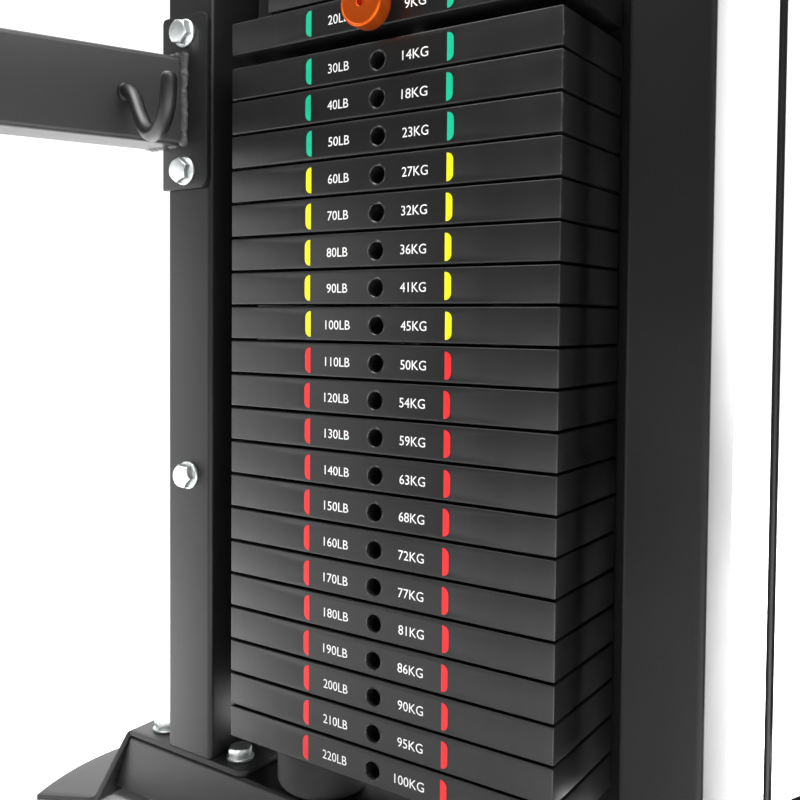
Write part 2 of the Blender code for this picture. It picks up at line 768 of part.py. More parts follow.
def hook_shape(x, front_y):
    """A bent rod: out of the tube's face, down, and up again at its free end."""
    outs = (-0.010, 0.004, 0.016, 0.040, 0.053, 0.068, 0.082, 0.092, 0.0960, 0.0965, 0.0965)
    drops = (0.0, 0.0, -0.006, -0.033, -0.043, -0.046, -0.042, -0.031, -0.017, -0.008, -0.005)
    points = [(x, front_y - out, hook_level + drop) for out, drop in zip(outs, drops)]
    return bent_rod(points, hook_radius, tip=(1, 0.85, 0.45))


def pull_up_bar(tower):
    """A bar bent at two places, its ends cut along the flanges that hold it between the head beams."""
    face_y = -head_width / 2 - seat_gap
    width, tall, thick = pull_up_flange
    level = height - pull_up_drop
    seat = tower @ Vector((pull_up_at, face_y, level))
    inner, outer = pull_up_kink
    half = [(seat.x + pull_up_radius, level), (outer, level), (inner, level + pull_up_rise)]
    points = [(x, seat.y, z) for x, z in half] + [(-x, seat.y, z) for x, z in reversed(half)]
    flanges, trims = [], []
    for mirror in (1, -1):
        plate = prism(rounded((pull_up_at, level), (width, tall), 0.010), face_y - thick, face_y, "y")
        trim = prism(rounded((pull_up_at, level), (width, tall), 0.010), face_y - thick / 2, face_y + 0.1, "y")
        for solid in (plate, trim):
            moved(solid, tower)
            if mirror < 0:
                moved(solid, Matrix.Scale(-1, 4, (1, 0, 0)))
        flanges.append(plate)
        trims.append(trim)
    bar = combined(bent_rod(points, pull_up_radius, 3), cut=trims)
    return combined(bar, join=flanges)


# Assembly

lift_runs = (stack_x - pulley_pitch_radius, stack_x + pulley_pitch_radius)
tower_turn = tower_flare - pi / 2
tower_matrix = Matrix.Translation((rear_half_span, rear_set_back, 0)) @ Matrix.Rotation(tower_turn, 4, "Z")


def tower_empty(side, sign):
    empty = bpy.data.objects.new("tower_" + side, None)
    bpy.context.collection.objects.link(empty)
    empty.location = (sign * rear_half_span, rear_set_back, 0)
    empty.rotation_euler.z = sign * tower_turn
    empty.scale.x = sign
    return empty


def build_tower(side, sign, shared):
    tower = tower_empty(side, sign)

    def add(name, shape, material, place=(0, 0, 0)):
        return piece(name + "_" + side, shape, material, tower, place)

    add("base", shared["base"], "black_powder_coat")
    add("rear_upright", shared["rear_upright"], "black_powder_coat")
    add("front_upright", shared["front_upright"], "black_powder_coat")
    add("slide_column", shared["slide_column"], "black_powder_coat")
    add("head_beam", shared["head_beam"], "black_powder_coat")
    add("rear_cover", shared["rear_cover"], "black_powder_coat")
    add("cable", shared["cable"], "coated_cable")
    add("selector_pin", shared["selector_pin"], "orange_anodised", (stack_x, -plate_depth / 2, lifted_bottom + plate_pitch / 2))
    add("lift_pulley", shared["pulley"], "black_nylon", (stack_x, 0, lift_pulley_z))
    add("base_pulley", shared["pulley"], "black_nylon", (column_x, 0, base_pulley_z))
    add("trolley", shared["trolley"], "black_powder_coat", (column_x, 0, trolley_z))
    add("pop_pin", shared["pop_pin"], "chromed_steel", (column_x, column_width / 2, trolley_z))
    add("swivel", shared["swivel"], "black_powder_coat", (swivel_x, 0, trolley_z))
    add("swivel_pulley", shared["pulley"], "black_nylon", (swivel_x + wrap_offset + pulley_pitch_radius, 0, trolley_z))
    add("handle", shared["handle"], "black_nylon", (swivel_x + wrap_offset + 2 * pulley_pitch_radius, 0, trolley_z + handle_drop))
    return add


shapes = {
    "base": base(),
    "rear_upright": rear_upright(),
    "front_upright": front_upright(),
    "slide_column": slide_column(),
    "head_beam": head_beam(),
    "rear_cover": cover(),
    "cable": cable_route(),
    "selector_pin": selector_pin(),
    "pulley": pulley(),
    "trolley": trolley(),
    "pop_pin": pop_pin(),
    "swivel": swivel(),
    "handle": handle(),
}
shapes = {name: as_mesh(shape, name) for name, shape in shapes.items()}

add_right = build_tower("right", 1, shapes)
plate_mesh = as_mesh(weight_plate(), "weight_plate")
add_right("plate_020", plate_mesh, "satin_black_plate", (0, 0, lifted_bottom))
add_right("head_plate", head_assembly(), "satin_black_plate")
for k in range(plate_count):
    pounds = 30 + 10 * k
    bottom = stack_top - (k + 1) * plate_pitch
    add_right(f"plate_{pounds:03d}", plate_mesh, "satin_black_plate", (0, 0, bottom))
rod_mesh, bumper_mesh = as_mesh(guide_rod(), "guide_rod"), as_mesh(bumper(), "bumper")
for end, x in zip(("rear", "front"), rod_places):
    add_right("guide_rod_" + end, rod_mesh, "chromed_steel", (x, 0, 0))
    add_right("bumper_" + end, bumper_mesh, "grey_rubber", (x, 0, 0))

add_left = build_tower("left", -1, shapes)
add_left("resting_stack", resting_stack(), "satin_black_plate")
lifted_plate = moved(weight_plate(lifted_bottom), Matrix.Translation((0, 0, 2 * seat_gap)))
add_left("head_plates", combined(head_assembly(1), join=[lifted_plate]), "satin_black_plate")

piece("rear_crossmember", crossmember(tower_matrix), "black_powder_coat")
piece("pull_up_bar", pull_up_bar(tower_matrix), "black_powder_coat")
bpy.context.view_layer.update()
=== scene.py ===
import random
from math import cos, pi, radians, sin

import bmesh
import bpy
from mathutils import Matrix, Vector


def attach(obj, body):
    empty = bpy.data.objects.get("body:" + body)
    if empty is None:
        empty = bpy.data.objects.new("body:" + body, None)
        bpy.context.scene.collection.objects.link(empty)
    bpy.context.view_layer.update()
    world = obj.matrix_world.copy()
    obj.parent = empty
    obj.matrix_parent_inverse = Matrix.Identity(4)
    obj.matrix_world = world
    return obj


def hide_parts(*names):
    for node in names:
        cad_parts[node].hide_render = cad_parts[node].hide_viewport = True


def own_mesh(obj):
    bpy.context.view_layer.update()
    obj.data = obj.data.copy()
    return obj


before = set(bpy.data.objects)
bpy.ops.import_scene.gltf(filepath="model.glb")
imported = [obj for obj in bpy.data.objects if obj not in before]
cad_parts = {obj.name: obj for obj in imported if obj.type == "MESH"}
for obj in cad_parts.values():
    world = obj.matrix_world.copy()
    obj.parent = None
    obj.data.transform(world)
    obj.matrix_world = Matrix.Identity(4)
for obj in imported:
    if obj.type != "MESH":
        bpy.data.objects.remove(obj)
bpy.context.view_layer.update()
print("frame loaded")


def shift(x=0, y=0, z=0):
    return Matrix.Translation((x, y, z))


def about(axis, angle):
    return Matrix.Rotation(angle, 4, axis)


mirrorX, mirrorY = Matrix.Scale(-1, 4, (1, 0, 0)), Matrix.Scale(-1, 4, (0, 1, 0))

# Both towers are modelled in the right tower's own axes: x from its rear upright to its front, y outward
tower = {"turn": radians(22.7) - pi / 2, "halfSpan": 0.450, "setBack": 0.2460}
rightTower = shift(tower["halfSpan"], tower["setBack"]) @ about("Z", tower["turn"])
towers = {"right": rightTower, "left": mirrorX @ rightTower}

# Camera

view = {
    "place": (0.5664, -0.5608, 0.4194),
    "yaw": radians(34.40),
    "pitch": radians(1.91),
    "roll": radians(0.47),
    "lens": 42.264,
    "sensor": 36,
    "shiftY": -0.0625,
    "nearest": 0.02,
}


def addCamera():
    level = Vector((cos(view["yaw"]), sin(view["yaw"]), 0))
    ahead = Vector((-sin(view["yaw"]), cos(view["yaw"]), 0))
    forward = ahead * cos(view["pitch"]) - Vector((0, 0, sin(view["pitch"])))
    up = Vector((0, 0, cos(view["pitch"]))) + ahead * sin(view["pitch"])
    across = level * cos(view["roll"]) + up * sin(view["roll"])
    up = up * cos(view["roll"]) - level * sin(view["roll"])
    turn = Matrix((across, up, -forward)).transposed().to_4x4()
    turn.translation = view["place"]
    lens = bpy.data.cameras.new("camera")
    lens.lens = view["lens"]
    lens.sensor_width = view["sensor"]
    lens.shift_y = view["shiftY"]
    lens.clip_start = view["nearest"]
    camera = bpy.data.objects.new("camera", lens)
    bpy.context.scene.collection.objects.link(camera)
    camera.matrix_world = rightTower @ turn
    bpy.context.scene.camera = camera


addCamera()
bpy.context.scene.view_settings.view_transform = "Standard"
print("camera placed")


# A socket in a node tree, so that shader maths reads as plain expressions
class Reading:
    def __init__(self, bench, socket):
        self.bench = bench
        self.socket = socket

    def maths(self, operation, first, second):
        return self.bench.node("ShaderNodeMath", {"operation": operation}, {0: first, 1: second})

    def __add__(self, other):
        return self.maths("ADD", self, other)

    def __radd__(self, other):
        return self.maths("ADD", other, self)

    def __sub__(self, other):
        return self.maths("SUBTRACT", self, other)

    def __rsub__(self, other):
        return self.maths("SUBTRACT", other, self)

    def __mul__(self, other):
        return self.maths("MULTIPLY", self, other)

    def __rmul__(self, other):
        return self.maths("MULTIPLY", other, self)


# A node tree, with the one way that nodes are added to it
class Bench:
    def __init__(self, tree):
        self.tree = tree

    def node(self, kind, settings=None, inputs=None, output=0):
        made = self.tree.nodes.new(kind)
        for name, value in (settings or {}).items():
            if name == "stops":
                ramp = made.color_ramp.elements
                for stop, (place, level) in zip(ramp, value):
                    stop.position = place
                    stop.color = (level, level, level, 1)
            else:
                setattr(made, name, value)
        self.feed(made, inputs or {})
        return Reading(self, made.outputs[output])

    def feed(self, made, inputs):
        for name, value in inputs.items():
            if isinstance(value, Reading):
                self.tree.links.new(value.socket, made.inputs[name])
            else:
                made.inputs[name].default_value = value

    def places(self):
        return self.node("ShaderNodeTexCoord", output=3)

    def split(self, vector):
        axes = self.node("ShaderNodeSeparateXYZ", {}, {0: vector})
        return [Reading(self, socket) for socket in axes.socket.node.outputs]

    def noise(self, scale, detail, at=None, roughness=0.5):
        inputs = {"Vector": at or self.places(), "Scale": scale, "Detail": detail, "Roughness": roughness}
        return self.node("ShaderNodeTexNoise", {}, inputs)

    def stretched(self, scale, turn=(0, 0, 0), place=(0, 0, 0)):
        inputs = {"Vector": self.places(), "Scale": scale, "Rotation": turn, "Location": place}
        return self.node("ShaderNodeMapping", {"vector_type": "TEXTURE"}, inputs)

    def ramp(self, value, *stops):
        return self.node("ShaderNodeValToRGB", {"stops": stops}, {"Fac": value})

    def mixed(self, share, first, second):
        return self.node("ShaderNodeMix", {"data_type": "RGBA"}, {0: share, 6: first, 7: second}, 2)


class Finish(Bench):
    def __init__(self, name, constants=None):
        self.material = bpy.data.materials.new(name)
        self.material.use_nodes = True
        super().__init__(self.material.node_tree)
        self.shader = self.tree.nodes["Principled BSDF"]
        self.feed(self.shader, constants or {})

    def patchy(self, cloud, low, high, first, second):
        return self.mixed(self.ramp(cloud, (low, 0), (high, 1)), first, second)

    def coated(self, colour, roughness, height=None, strength=0, depth=0):
        inputs = {"Base Color": colour, "Roughness": roughness}
        if height:
            relief = {"Height": height, "Strength": strength, "Distance": depth}
            inputs["Normal"] = self.node("ShaderNodeBump", {}, relief)
        self.feed(self.shader, inputs)
        return self.material


def shade(value, blue=1.0):
    return (value, value, value * blue, 1)


# Finishes


def powderCoat(name, darkness, roughness, grain=0.22, gloss=0.5):
    finish = Finish(name, {"Specular IOR Level": gloss})
    smudge = finish.noise(9, 3)
    speck = finish.ramp(finish.noise(620, 0), (0.74, 0), (0.80, 1))
    tone = finish.patchy(smudge, 0.35, 0.70, shade(darkness * 0.85), shade(darkness * 1.2))
    colour = finish.mixed(speck * 0.07, tone, shade(0.09))
    height = finish.noise(1400, 2) * 0.6 + finish.noise(260, 2)
    return finish.coated(colour, roughness - 0.05 + 0.10 * smudge, height, grain, 0.00012)


def platePaint(side):
    # the wear along the front's right edge is placed in the tower's own axes
    finish = Finish("platePaint" + side.capitalize())
    flip = 1 if side == "right" else -1
    place = (flip * tower["halfSpan"], tower["setBack"], 0)
    across, depth, level = finish.split(finish.stretched((flip, 1, 1), (0, 0, flip * tower["turn"]), place))
    chips = finish.ramp(finish.noise(420, 3, roughness=0.7), (0.50, 0), (0.60, 1))
    nearRight = finish.ramp(across, (0.3281, 0), (0.3288, 1))
    nearFront = finish.ramp(0 - depth, (0.0456, 0), (0.0466, 1))
    upper = finish.ramp(level, (0.46, 0.15), (0.56, 1))
    brushed = finish.noise(90, 4, finish.stretched((1, 1, 9)))
    tone = finish.patchy(brushed, 0.35, 0.72, shade(0.0052, 1.04), shade(0.0088, 1.05))
    colour = finish.mixed(chips * nearRight * nearFront * upper * 0.8, tone, shade(0.30))
    height = finish.noise(1100, 2) + 0.5 * brushed
    return finish.coated(colour, 0.36 + 0.12 * finish.noise(13, 3), height, 0.12, 0.00010)


def labelFilm():
    finish = Finish("labelFilm")
    soft = finish.noise(45, 2)
    return finish.coated(shade(0.006), 0.26 + 0.10 * soft, soft, 0.05, 0.0003)


def printed(name, colour):
    finish = Finish(name)
    grain = finish.noise(900, 2)
    worn = finish.patchy(grain, 0.62, 0.85, (*colour, 1), (*[part * 0.72 for part in colour], 1))
    return finish.coated(worn, 0.38 + 0.1 * grain)


def zincPlate():
    finish = Finish("zincPlate", {"Metallic": 1.0})
    cloud = finish.noise(160, 3)
    scratch = finish.noise(500, 3, finish.stretched((1, 1, 6)))
    colour = finish.patchy(cloud, 0.35, 0.68, (0.76, 0.81, 0.81, 1), (0.93, 0.94, 0.94, 1))
    return finish.coated(colour, 0.30 + 0.16 * cloud, scratch, 0.10, 0.0002)


def anodised():
    finish = Finish("orangeAnodised", {"Metallic": 0.85})
    cloud = finish.noise(70, 2)
    colour = finish.mixed(cloud, (0.60, 0.080, 0.003, 1), (0.74, 0.115, 0.006, 1))
    return finish.coated(colour, 0.36 + 0.10 * cloud, finish.noise(1300, 2), 0.06, 0.0001)


def chrome():
    finish = Finish("chromedSteel", {"Metallic": 1.0})
    film = finish.noise(24, 3, finish.stretched((1, 1, 5)))
    rings = finish.noise(300, 1, finish.stretched((40, 40, 1)))
    colour = finish.mixed(film, shade(0.62), shade(0.80))
    return finish.coated(colour, 0.07 + 0.10 * film, rings, 0.03, 0.0001)


def rubber(name, darkness):
    finish = Finish(name)
    dust = finish.noise(30, 3)
    colour = finish.patchy(dust, 0.4, 0.75, shade(darkness), shade(darkness * 1.7))
    return finish.coated(colour, 0.58 + 0.25 * dust, finish.noise(800, 3), 0.25, 0.0002)


def cableCoat():
    finish = Finish("cableCoat", {"Coat Roughness": 0.2})
    smear = finish.noise(18, 2, finish.stretched((1, 1, 6)))
    colour = finish.mixed(smear, shade(0.010), shade(0.020, 1.15))
    return finish.coated(colour, 0.24 + 0.16 * smear, finish.noise(700, 2), 0.05, 0.0001)


def webbing():
    finish = Finish("webbing")
    wave = finish.node(
        "ShaderNodeTexWave",
        {"wave_type": "BANDS", "bands_direction": "Z", "wave_profile": "SIN"},
        {"Vector": finish.places(), "Scale": 210.0, "Distortion": 0.6, "Detail": 1.0},
        1,
    )
    weave = wave * 0.7 + finish.noise(900, 2, finish.stretched((1, 1, 0.3))) * 0.5
    fuzz = finish.noise(2200, 2)
    colour = finish.mixed(weave, shade(0.008), shade(0.030))
    return finish.coated(colour, 0.80 + 0.15 * fuzz, weave + 0.2 * fuzz, 0.6, 0.0006)


def moulded(name, darkness, roughness):
    finish = Finish(name)
    flow = finish.noise(16, 2)
    colour = finish.mixed(flow, shade(darkness * 0.8), shade(darkness * 1.3))
    return finish.coated(colour, roughness + 0.12 * flow, finish.noise(1000, 2), 0.15, 0.0001)


def palePaint():
    finish = Finish("floorPaint")
    soft = finish.noise(3, 3)
    return finish.coated(finish.mixed(soft, shade(0.80), shade(0.84)), 0.75 + 0.1 * soft)


finishes = {
    "frame": powderCoat("framePowderCoat", 0.0085, 0.40),
    # painted shade: the frame's paint on the front upright, a little darker and far less glossy so that its
    # faces read darker
    "front": powderCoat("frontPaintedShadePowderCoat", 0.0080, 0.42, 0.22, 0.20),
    # painted light: the frame's paint made lighter on the crossmember, for the light falling on its front
    # face
    "cross": powderCoat("crossmemberPaintedLightPowderCoat", 0.013, 0.42, 0.30),
    # painted light: the frame's paint made lighter on the foot plates, for the grey sheen they show at a
    # grazing angle
    "foot": powderCoat("footPaintedLightPowderCoat", 0.011, 0.46, 0.22, 0.40),
    # painted shade: the frame's paint made much darker and duller on the cover, for the shadow behind the
    # stack
    "cover": powderCoat("coverPaintedShadePowderCoat", 0.0025, 0.60, 0.22, 0.2),
    "weld": powderCoat("weldPowderCoat", 0.055, 0.46, 0.5),
    "plateright": platePaint("right"),
    "plateleft": platePaint("left"),
    "film": labelFilm(),
    "rim": moulded("holeRim", 0.016, 0.16),
    "teal": printed("printTeal", (0.0, 0.48, 0.26)),
    "yellow": printed("printYellow", (0.86, 0.82, 0.0)),
    "red": printed("printRed", (0.78, 0.010, 0.014)),
    "white": printed("printWhite", (0.86, 0.86, 0.86)),
    "zinc": zincPlate(),
    "orange": anodised(),
    "chrome": chrome(),
    "bumper": rubber("bumperRubber", 0.014),
    "grip": rubber("gripRubber", 0.012),
    "cable": cableCoat(),
    "webbing": webbing(),
    "nylon": moulded("pulleyNylon", 0.010, 0.35),
    "floor": palePaint(),
}
print("finishes made")


# Modelling helpers

# how far joined or cut pieces reach into each other, and the gap between bolted faces
overlap, faceGap = 0.001, 0.0003


def mm(*points):
    # points of a profile or outline, given in millimetres
    return [tuple(part / 1000 for part in point) for point in points]


def deselectAll():
    if bpy.context.mode != "OBJECT":
        bpy.ops.object.mode_set(mode="OBJECT")
    bpy.ops.object.select_all(action="DESELECT")


def activate(piece):
    deselectAll()
    piece.select_set(True)
    bpy.context.view_layer.objects.active = piece
    return piece


def named(piece, name):
    piece.name = name
    piece.data.name = name
    return piece


def newPiece(name):
    bpy.ops.object.transform_apply(location=True, rotation=True, scale=True)
    return named(bpy.context.object, name)


def discard(piece):
    bpy.data.objects.remove(piece, do_unlink=True)


def addBlock(name, low, high):
    deselectAll()
    middle = [(a + b) / 2 for a, b in zip(low, high)]
    size = [b - a for a, b in zip(low, high)]
    bpy.ops.mesh.primitive_cube_add(size=1, location=middle, scale=size)
    return newPiece(name)


axisTurns = {"x": (0, pi / 2, 0), "y": (-pi / 2, 0, 0), "z": (0, 0, 0)}


def addRound(name, radius, middle, length, axis="z", steps=48):
    deselectAll()
    bpy.ops.mesh.primitive_cylinder_add(
        vertices=steps, radius=radius, depth=length, location=middle, rotation=axisTurns[axis]
    )
    return newPiece(name)


def pick(piece, kind, test):
    # stays in edit mode, with what passes the test selected
    activate(piece)
    bpy.ops.object.mode_set(mode="EDIT")
    bpy.ops.mesh.select_mode(type=kind)
    bpy.ops.mesh.select_all(action="DESELECT")
    shape = bmesh.from_edit_mesh(piece.data)
    for item in {"VERT": shape.verts, "EDGE": shape.edges, "FACE": shape.faces}[kind]:
        if test(item):
            item.select_set(True)
    shape.select_flush_mode()
    bmesh.update_edit_mesh(piece.data)


def isSharp(edge):
    return len(edge.link_faces) == 2 and edge.calc_face_angle(0) > radians(30)


def bevelEdges(piece, width, steps, test=isSharp):
    pick(piece, "EDGE", test)
    bpy.ops.mesh.bevel(offset=width, segments=steps, affect="EDGES", clamp_overlap=True)
    deselectAll()
    return piece


def bevelAlong(piece, width, steps, index):
    def test(edge):
        run = edge.verts[1].co - edge.verts[0].co
        return run.length > 0 and abs(run[index]) > 0.999 * run.length

    return bevelEdges(piece, width, steps, test)


def cutOff(piece, point, normal):
    # what lies beyond the plane goes, and the cut is closed
    pick(piece, "VERT", lambda vert: True)
    bpy.ops.mesh.bisect(plane_co=point, plane_no=normal, use_fill=True, clear_outer=True)
    deselectAll()


def applied(piece, kind, **settings):
    activate(piece)
    step = piece.modifiers.new(kind.capitalize(), kind)
    for name, value in settings.items():
        setattr(step, name, value)
    bpy.ops.object.modifier_apply(modifier=step.name)
    return piece


def drilled(piece, *cutters, operation="DIFFERENCE"):
    for cutter in cutters:
        applied(piece, "BOOLEAN", operation=operation, object=cutter)
        discard(cutter)
    return piece


def tidied(piece):
    # doubles merged and faces turned outward
    activate(piece)
    bpy.ops.object.mode_set(mode="EDIT")
    bpy.ops.mesh.select_all(action="SELECT")
    bpy.ops.mesh.remove_doubles(threshold=1e-6)
    bpy.ops.mesh.normals_make_consistent(inside=False)
    deselectAll()
    return piece


def turned(name, profile, middle=(0, 0, 0), axis="z", steps=48):
    # a vertex is drawn out along the (radius, level) profile, then spun
    deselectAll()
    bpy.ops.mesh.primitive_plane_add(size=0.01)
    piece = bpy.context.object
    bpy.ops.object.mode_set(mode="EDIT")
    bpy.ops.mesh.select_mode(type="VERT")
    bpy.ops.mesh.select_all(action="SELECT")
    bpy.ops.mesh.merge(type="CENTER")
    bpy.ops.mesh.select_all(action="SELECT")
    bpy.ops.transform.translate(value=(profile[0][0], 0, profile[0][1]))
    for (lastRadius, lastLevel), (radius, level) in zip(profile, profile[1:]):
        bpy.ops.mesh.extrude_region_move(
            TRANSFORM_OT_translate={"value": (radius - lastRadius, 0, level - lastLevel)}
        )
    bpy.ops.mesh.select_all(action="SELECT")
    bpy.ops.mesh.spin(steps=steps, angle=2 * pi, center=(0, 0, 0), axis=(0, 0, 1))
    bpy.ops.object.mode_set(mode="OBJECT")
    piece.rotation_euler = axisTurns[axis]
    piece.location = middle
    return tidied(newPiece(name))


def addCurve(outlines, kind="POLY"):
    # a curve with one spline for each list of points, and the splines' points to set further
    deselectAll()
    bpy.ops.curve.primitive_bezier_curve_add()
    curve = bpy.context.object.data
    curve.splines.clear()
    places = []
    for outline in outlines:
        spline = curve.splines.new(kind)
        places = spline.points if kind == "POLY" else spline.bezier_points
        places.add(len(outline) - 1)
        for place, point in zip(places, outline):
            if kind == "POLY":
                place.co = (*point, 1) if len(point) == 3 else (*point, 0, 1)
            else:
                place.co = point
                place.handle_left_type = place.handle_right_type = "AUTO"
    return curve, places


def fromCurve(name):
    bpy.ops.object.convert(target="MESH")
    return tidied(newPiece(name))


def rodAlong(name, points, radius, closed=False, shares=(), rings=4, kind="POLY"):
    # the shares are of the radius, for the last points
    curve, places = addCurve([points], kind)
    for place, share in zip(reversed(places), reversed(shares)):
        place.radius = share
    curve.splines[0].resolution_u = 5
    curve.splines[0].use_cyclic_u = closed
    curve.bevel_depth = radius
    curve.bevel_resolution = rings
    curve.use_fill_caps = not closed
    return fromCurve(name)


def outlined(name, outlines, thickness, rounding=0.0):
    # flat outlines in the x-y plane, holes among them, given a thickness about z = 0
    curve, _ = addCurve(outlines)
    curve.dimensions = "2D"
    curve.fill_mode = "BOTH"
    for spline in curve.splines:
        spline.use_cyclic_u = True
    curve.extrude = thickness / 2 - rounding
    curve.bevel_depth = rounding
    curve.bevel_resolution = 1
    curve.offset = -rounding
    return fromCurve(name)


def roundedOutline(low, high, radii, steps=5):
    # radii of the corners, from the low one anticlockwise
    (left, bottom), (right, top) = low, high
    corners = ((left, bottom, 1, 1), (right, bottom, -1, 1), (right, top, -1, -1), (left, top, 1, -1))
    points = []
    for k, ((x, y, wayX, wayY), radius) in enumerate(zip(corners, radii)):
        for step in range(steps + 1 if radius else 1):
            angle = pi + (k + step / steps) * pi / 2
            points.append((x + wayX * radius + radius * cos(angle), y + wayY * radius + radius * sin(angle)))
    return points


def arcPoints(x, y, radius, start, end, steps):
    # angles in degrees; both ends are among the points
    angles = [radians(start + (end - start) * k / steps) for k in range(steps + 1)]
    return [(x + radius * cos(angle), y + radius * sin(angle)) for angle in angles]


def circlePoints(x, y, radius, steps=32):
    return arcPoints(x, y, radius, 0, 360, steps)[:-1]


def stood(points, y=0):
    # flat (x, z) points taken to the plane at y
    return [(x, y, z) for x, z in points]


def filleted(points, radius, steps=4):
    # the path with its inner corners rounded
    path = [points[0]]
    for before, corner, after in zip(points, points[1:], points[2:]):
        back = (Vector(before) - Vector(corner)).normalized()
        on = (Vector(after) - Vector(corner)).normalized()
        reach = radius * abs((1 + back.dot(on)) / (1 - back.dot(on))) ** 0.5
        first, last = Vector(corner) + back * reach, Vector(corner) + on * reach
        for t in (k / steps for k in range(steps + 1)):
            path.append(tuple(first * (1 - t) ** 2 + Vector(corner) * 2 * t * (1 - t) + last * t**2))
    return path + [points[-1]]


def moved(piece, matrix):
    piece.matrix_world = matrix @ piece.matrix_world
    activate(piece)
    bpy.ops.object.transform_apply(location=True, rotation=True, scale=True)
    return piece


def copied(piece, name, matrix=None):
    activate(piece)
    bpy.ops.object.duplicate()
    twin = named(bpy.context.object, name)
    return moved(twin, matrix) if matrix else twin


def joined(name, pieces):
    activate(pieces[0])
    for piece in pieces:
        piece.select_set(True)
    bpy.ops.object.join()
    return named(bpy.context.object, name)


def doubled(piece):
    # the piece together with its mirror image on the other side of the tower
    return joined(piece.name, [piece, tidied(copied(piece, "twin", mirrorY))])


def smoothed(piece, angle=32):
    activate(piece)
    bpy.ops.object.shade_smooth_by_angle(angle=radians(angle))
    return piece


def painted(piece, finish):
    piece.data.materials.clear()
    piece.data.materials.append(finishes[finish])
    return piece


# turns a flat outline's x-y-z into the tower's x, z and -y, so that it faces the tower's inner side
facing = Matrix(((1, 0, 0, 0), (0, 0, -1, 0), (0, 1, 0, 0), (0, 0, 0, 1)))


def standingPlate(name, outlines, thickness, rounding, y):
    # the outlines are in x and z, and the plate's middle is at y
    return moved(outlined(name, outlines, thickness, rounding), shift(y=y) @ facing)


def settle(piece, body, finish=None, node=None, slot=None, angle=32):
    # hangs a piece on its body
    if finish:
        painted(piece, finish)
    smoothed(piece, angle)
    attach(piece, body)
    if node:
        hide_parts(node)
    return piece


def settleOn(side, piece, *rest, **more):
    # the same for a piece in the tower's axes, which goes to the frame's first
    moved(piece, towers[side])
    return settle(tidied(piece) if side == "left" else piece, *rest, **more)


def settleBoth(piece, body, finish, nodes=(None, None), slot=None):
    # one copy for each tower; a * stands for the side, and a single node name for both sides' nodes
    pair = (nodes, nodes) if isinstance(nodes, str) else nodes
    for side, node in zip(towers, pair):
        twin = copied(piece, f"{piece.name}_{side}")
        names = [name and name.replace("*", side) for name in (body, finish, node)]
        settleOn(side, twin, *names, slot=slot)
    discard(piece)


# Weight plates

plate = {
    "width": 0.269,
    "half": 0.047,
    "pitch": 0.0254,
    "gap": 0.0020,
    "edge": 0.0009,
    "middle": 0.1945,
    "bottom": 0.0970,
    "lifted": 0.6130,
    "count": 20,
    "rods": (0.1145, 0.2745),
    "rodBore": (0.0110, 0.0155),
    "stemBore": (0.0135, 0.0190),
    "boreLong": 0.05,
    "pinBore": 0.0060,
    "pinBoreAt": -0.030,
    "pinBoreLong": 0.06,
    "pinBoreEdge": 0.0006,
    "bush": (0.0003, 0.0030),
}
plateMiddle, halfPitch = plate["middle"], plate["pitch"] / 2


def onPinBore(edge):
    for vert in edge.verts:
        off = Vector((vert.co.x - plateMiddle, vert.co.z - halfPitch))
        if vert.co.y > -plate["half"] + 1e-5 or abs(off.length - plate["pinBore"]) > 2e-4:
            return False
    return True


def makePlate(name, width, stem):
    low = (plateMiddle - width / 2, -plate["half"], plate["gap"])
    high = (plateMiddle + width / 2, plate["half"], plate["pitch"])
    slab = bevelEdges(addBlock(name, low, high), plate["edge"], 3)
    bores = [(x, *plate["rodBore"]) for x in plate["rods"]]
    if stem:
        bores.append((plateMiddle, *plate["stemBore"]))
    for x, bore, wide in bores:
        drilled(slab, addRound("bore", bore, (x, 0, halfPitch), plate["boreLong"], "z", 36))
    if stem:
        point = (plateMiddle, plate["pinBoreAt"], halfPitch)
        drilled(slab, addRound("bore", plate["pinBore"], point, plate["pinBoreLong"], "y", 40))
        bevelEdges(slab, plate["pinBoreEdge"], 2, onPinBore)
    # the bushings stand proud below, so that the plates don't touch all over
    low, high = plate["bush"]
    for x, bore, wide in bores:
        ring = [(bore, low), (wide, low), (wide, high), (bore, high), (bore, low)]
        slab = joined(name, [slab, turned("bush", ring, (x, 0, 0), steps=36)])
    return slab


master = makePlate("weightPlate", plate["width"], True)
for k in range(plate["count"]):
    number = f"{30 + 10 * k:03d}"
    bottom = plate["bottom"] + (plate["count"] - 1 - k) * plate["pitch"]
    slab = copied(master, "weightPlate" + number, shift(z=bottom))
    settleBoth(slab, "frame", "plate*", (f"plate_{number}_right", "resting_stack_left"))
slab = copied(master, "weightPlate020", shift(z=plate["lifted"]))
settleBoth(slab, "carriage_*", "plate*", ("plate_020_right", "head_plates_left"))
discard(master)
print("plates stacked")

# Labels on the plates

label = {
    "low": (0.1323, 0.0036),
    "high": (0.2543, 0.0227),
    "corner": 0.0044,
    "film": 0.00016,
    "ink": 0.00010,
    "sunk": 0.4,
    "mark": (0.0002, 0.0051, 0.0005),
    "hole": 0.0066,
    "rim": mm((5.9, -1.2), (6, 0), (6.4, 0.35), (6.9, 0.3), (7.2, 0), (7.2, -1.2), (5.9, -1.2)),
    "textHeight": 0.0064,
    "pounds": (0.1615, 0.0182),
    "kilos": (0.2248, 0.0202),
    "oneDigit": 0.82,
    "threeDigits": 1.18,
    "weights": (9, 14, 18, 23, 27, 32, 36, 41, 45, 50, 54, 59, 63, 68, 72, 77, 81, 86, 90, 95, 100),
    "strayX": 0.0006,
    "strayZ": 0.0003,
}
chance = random.Random(4)


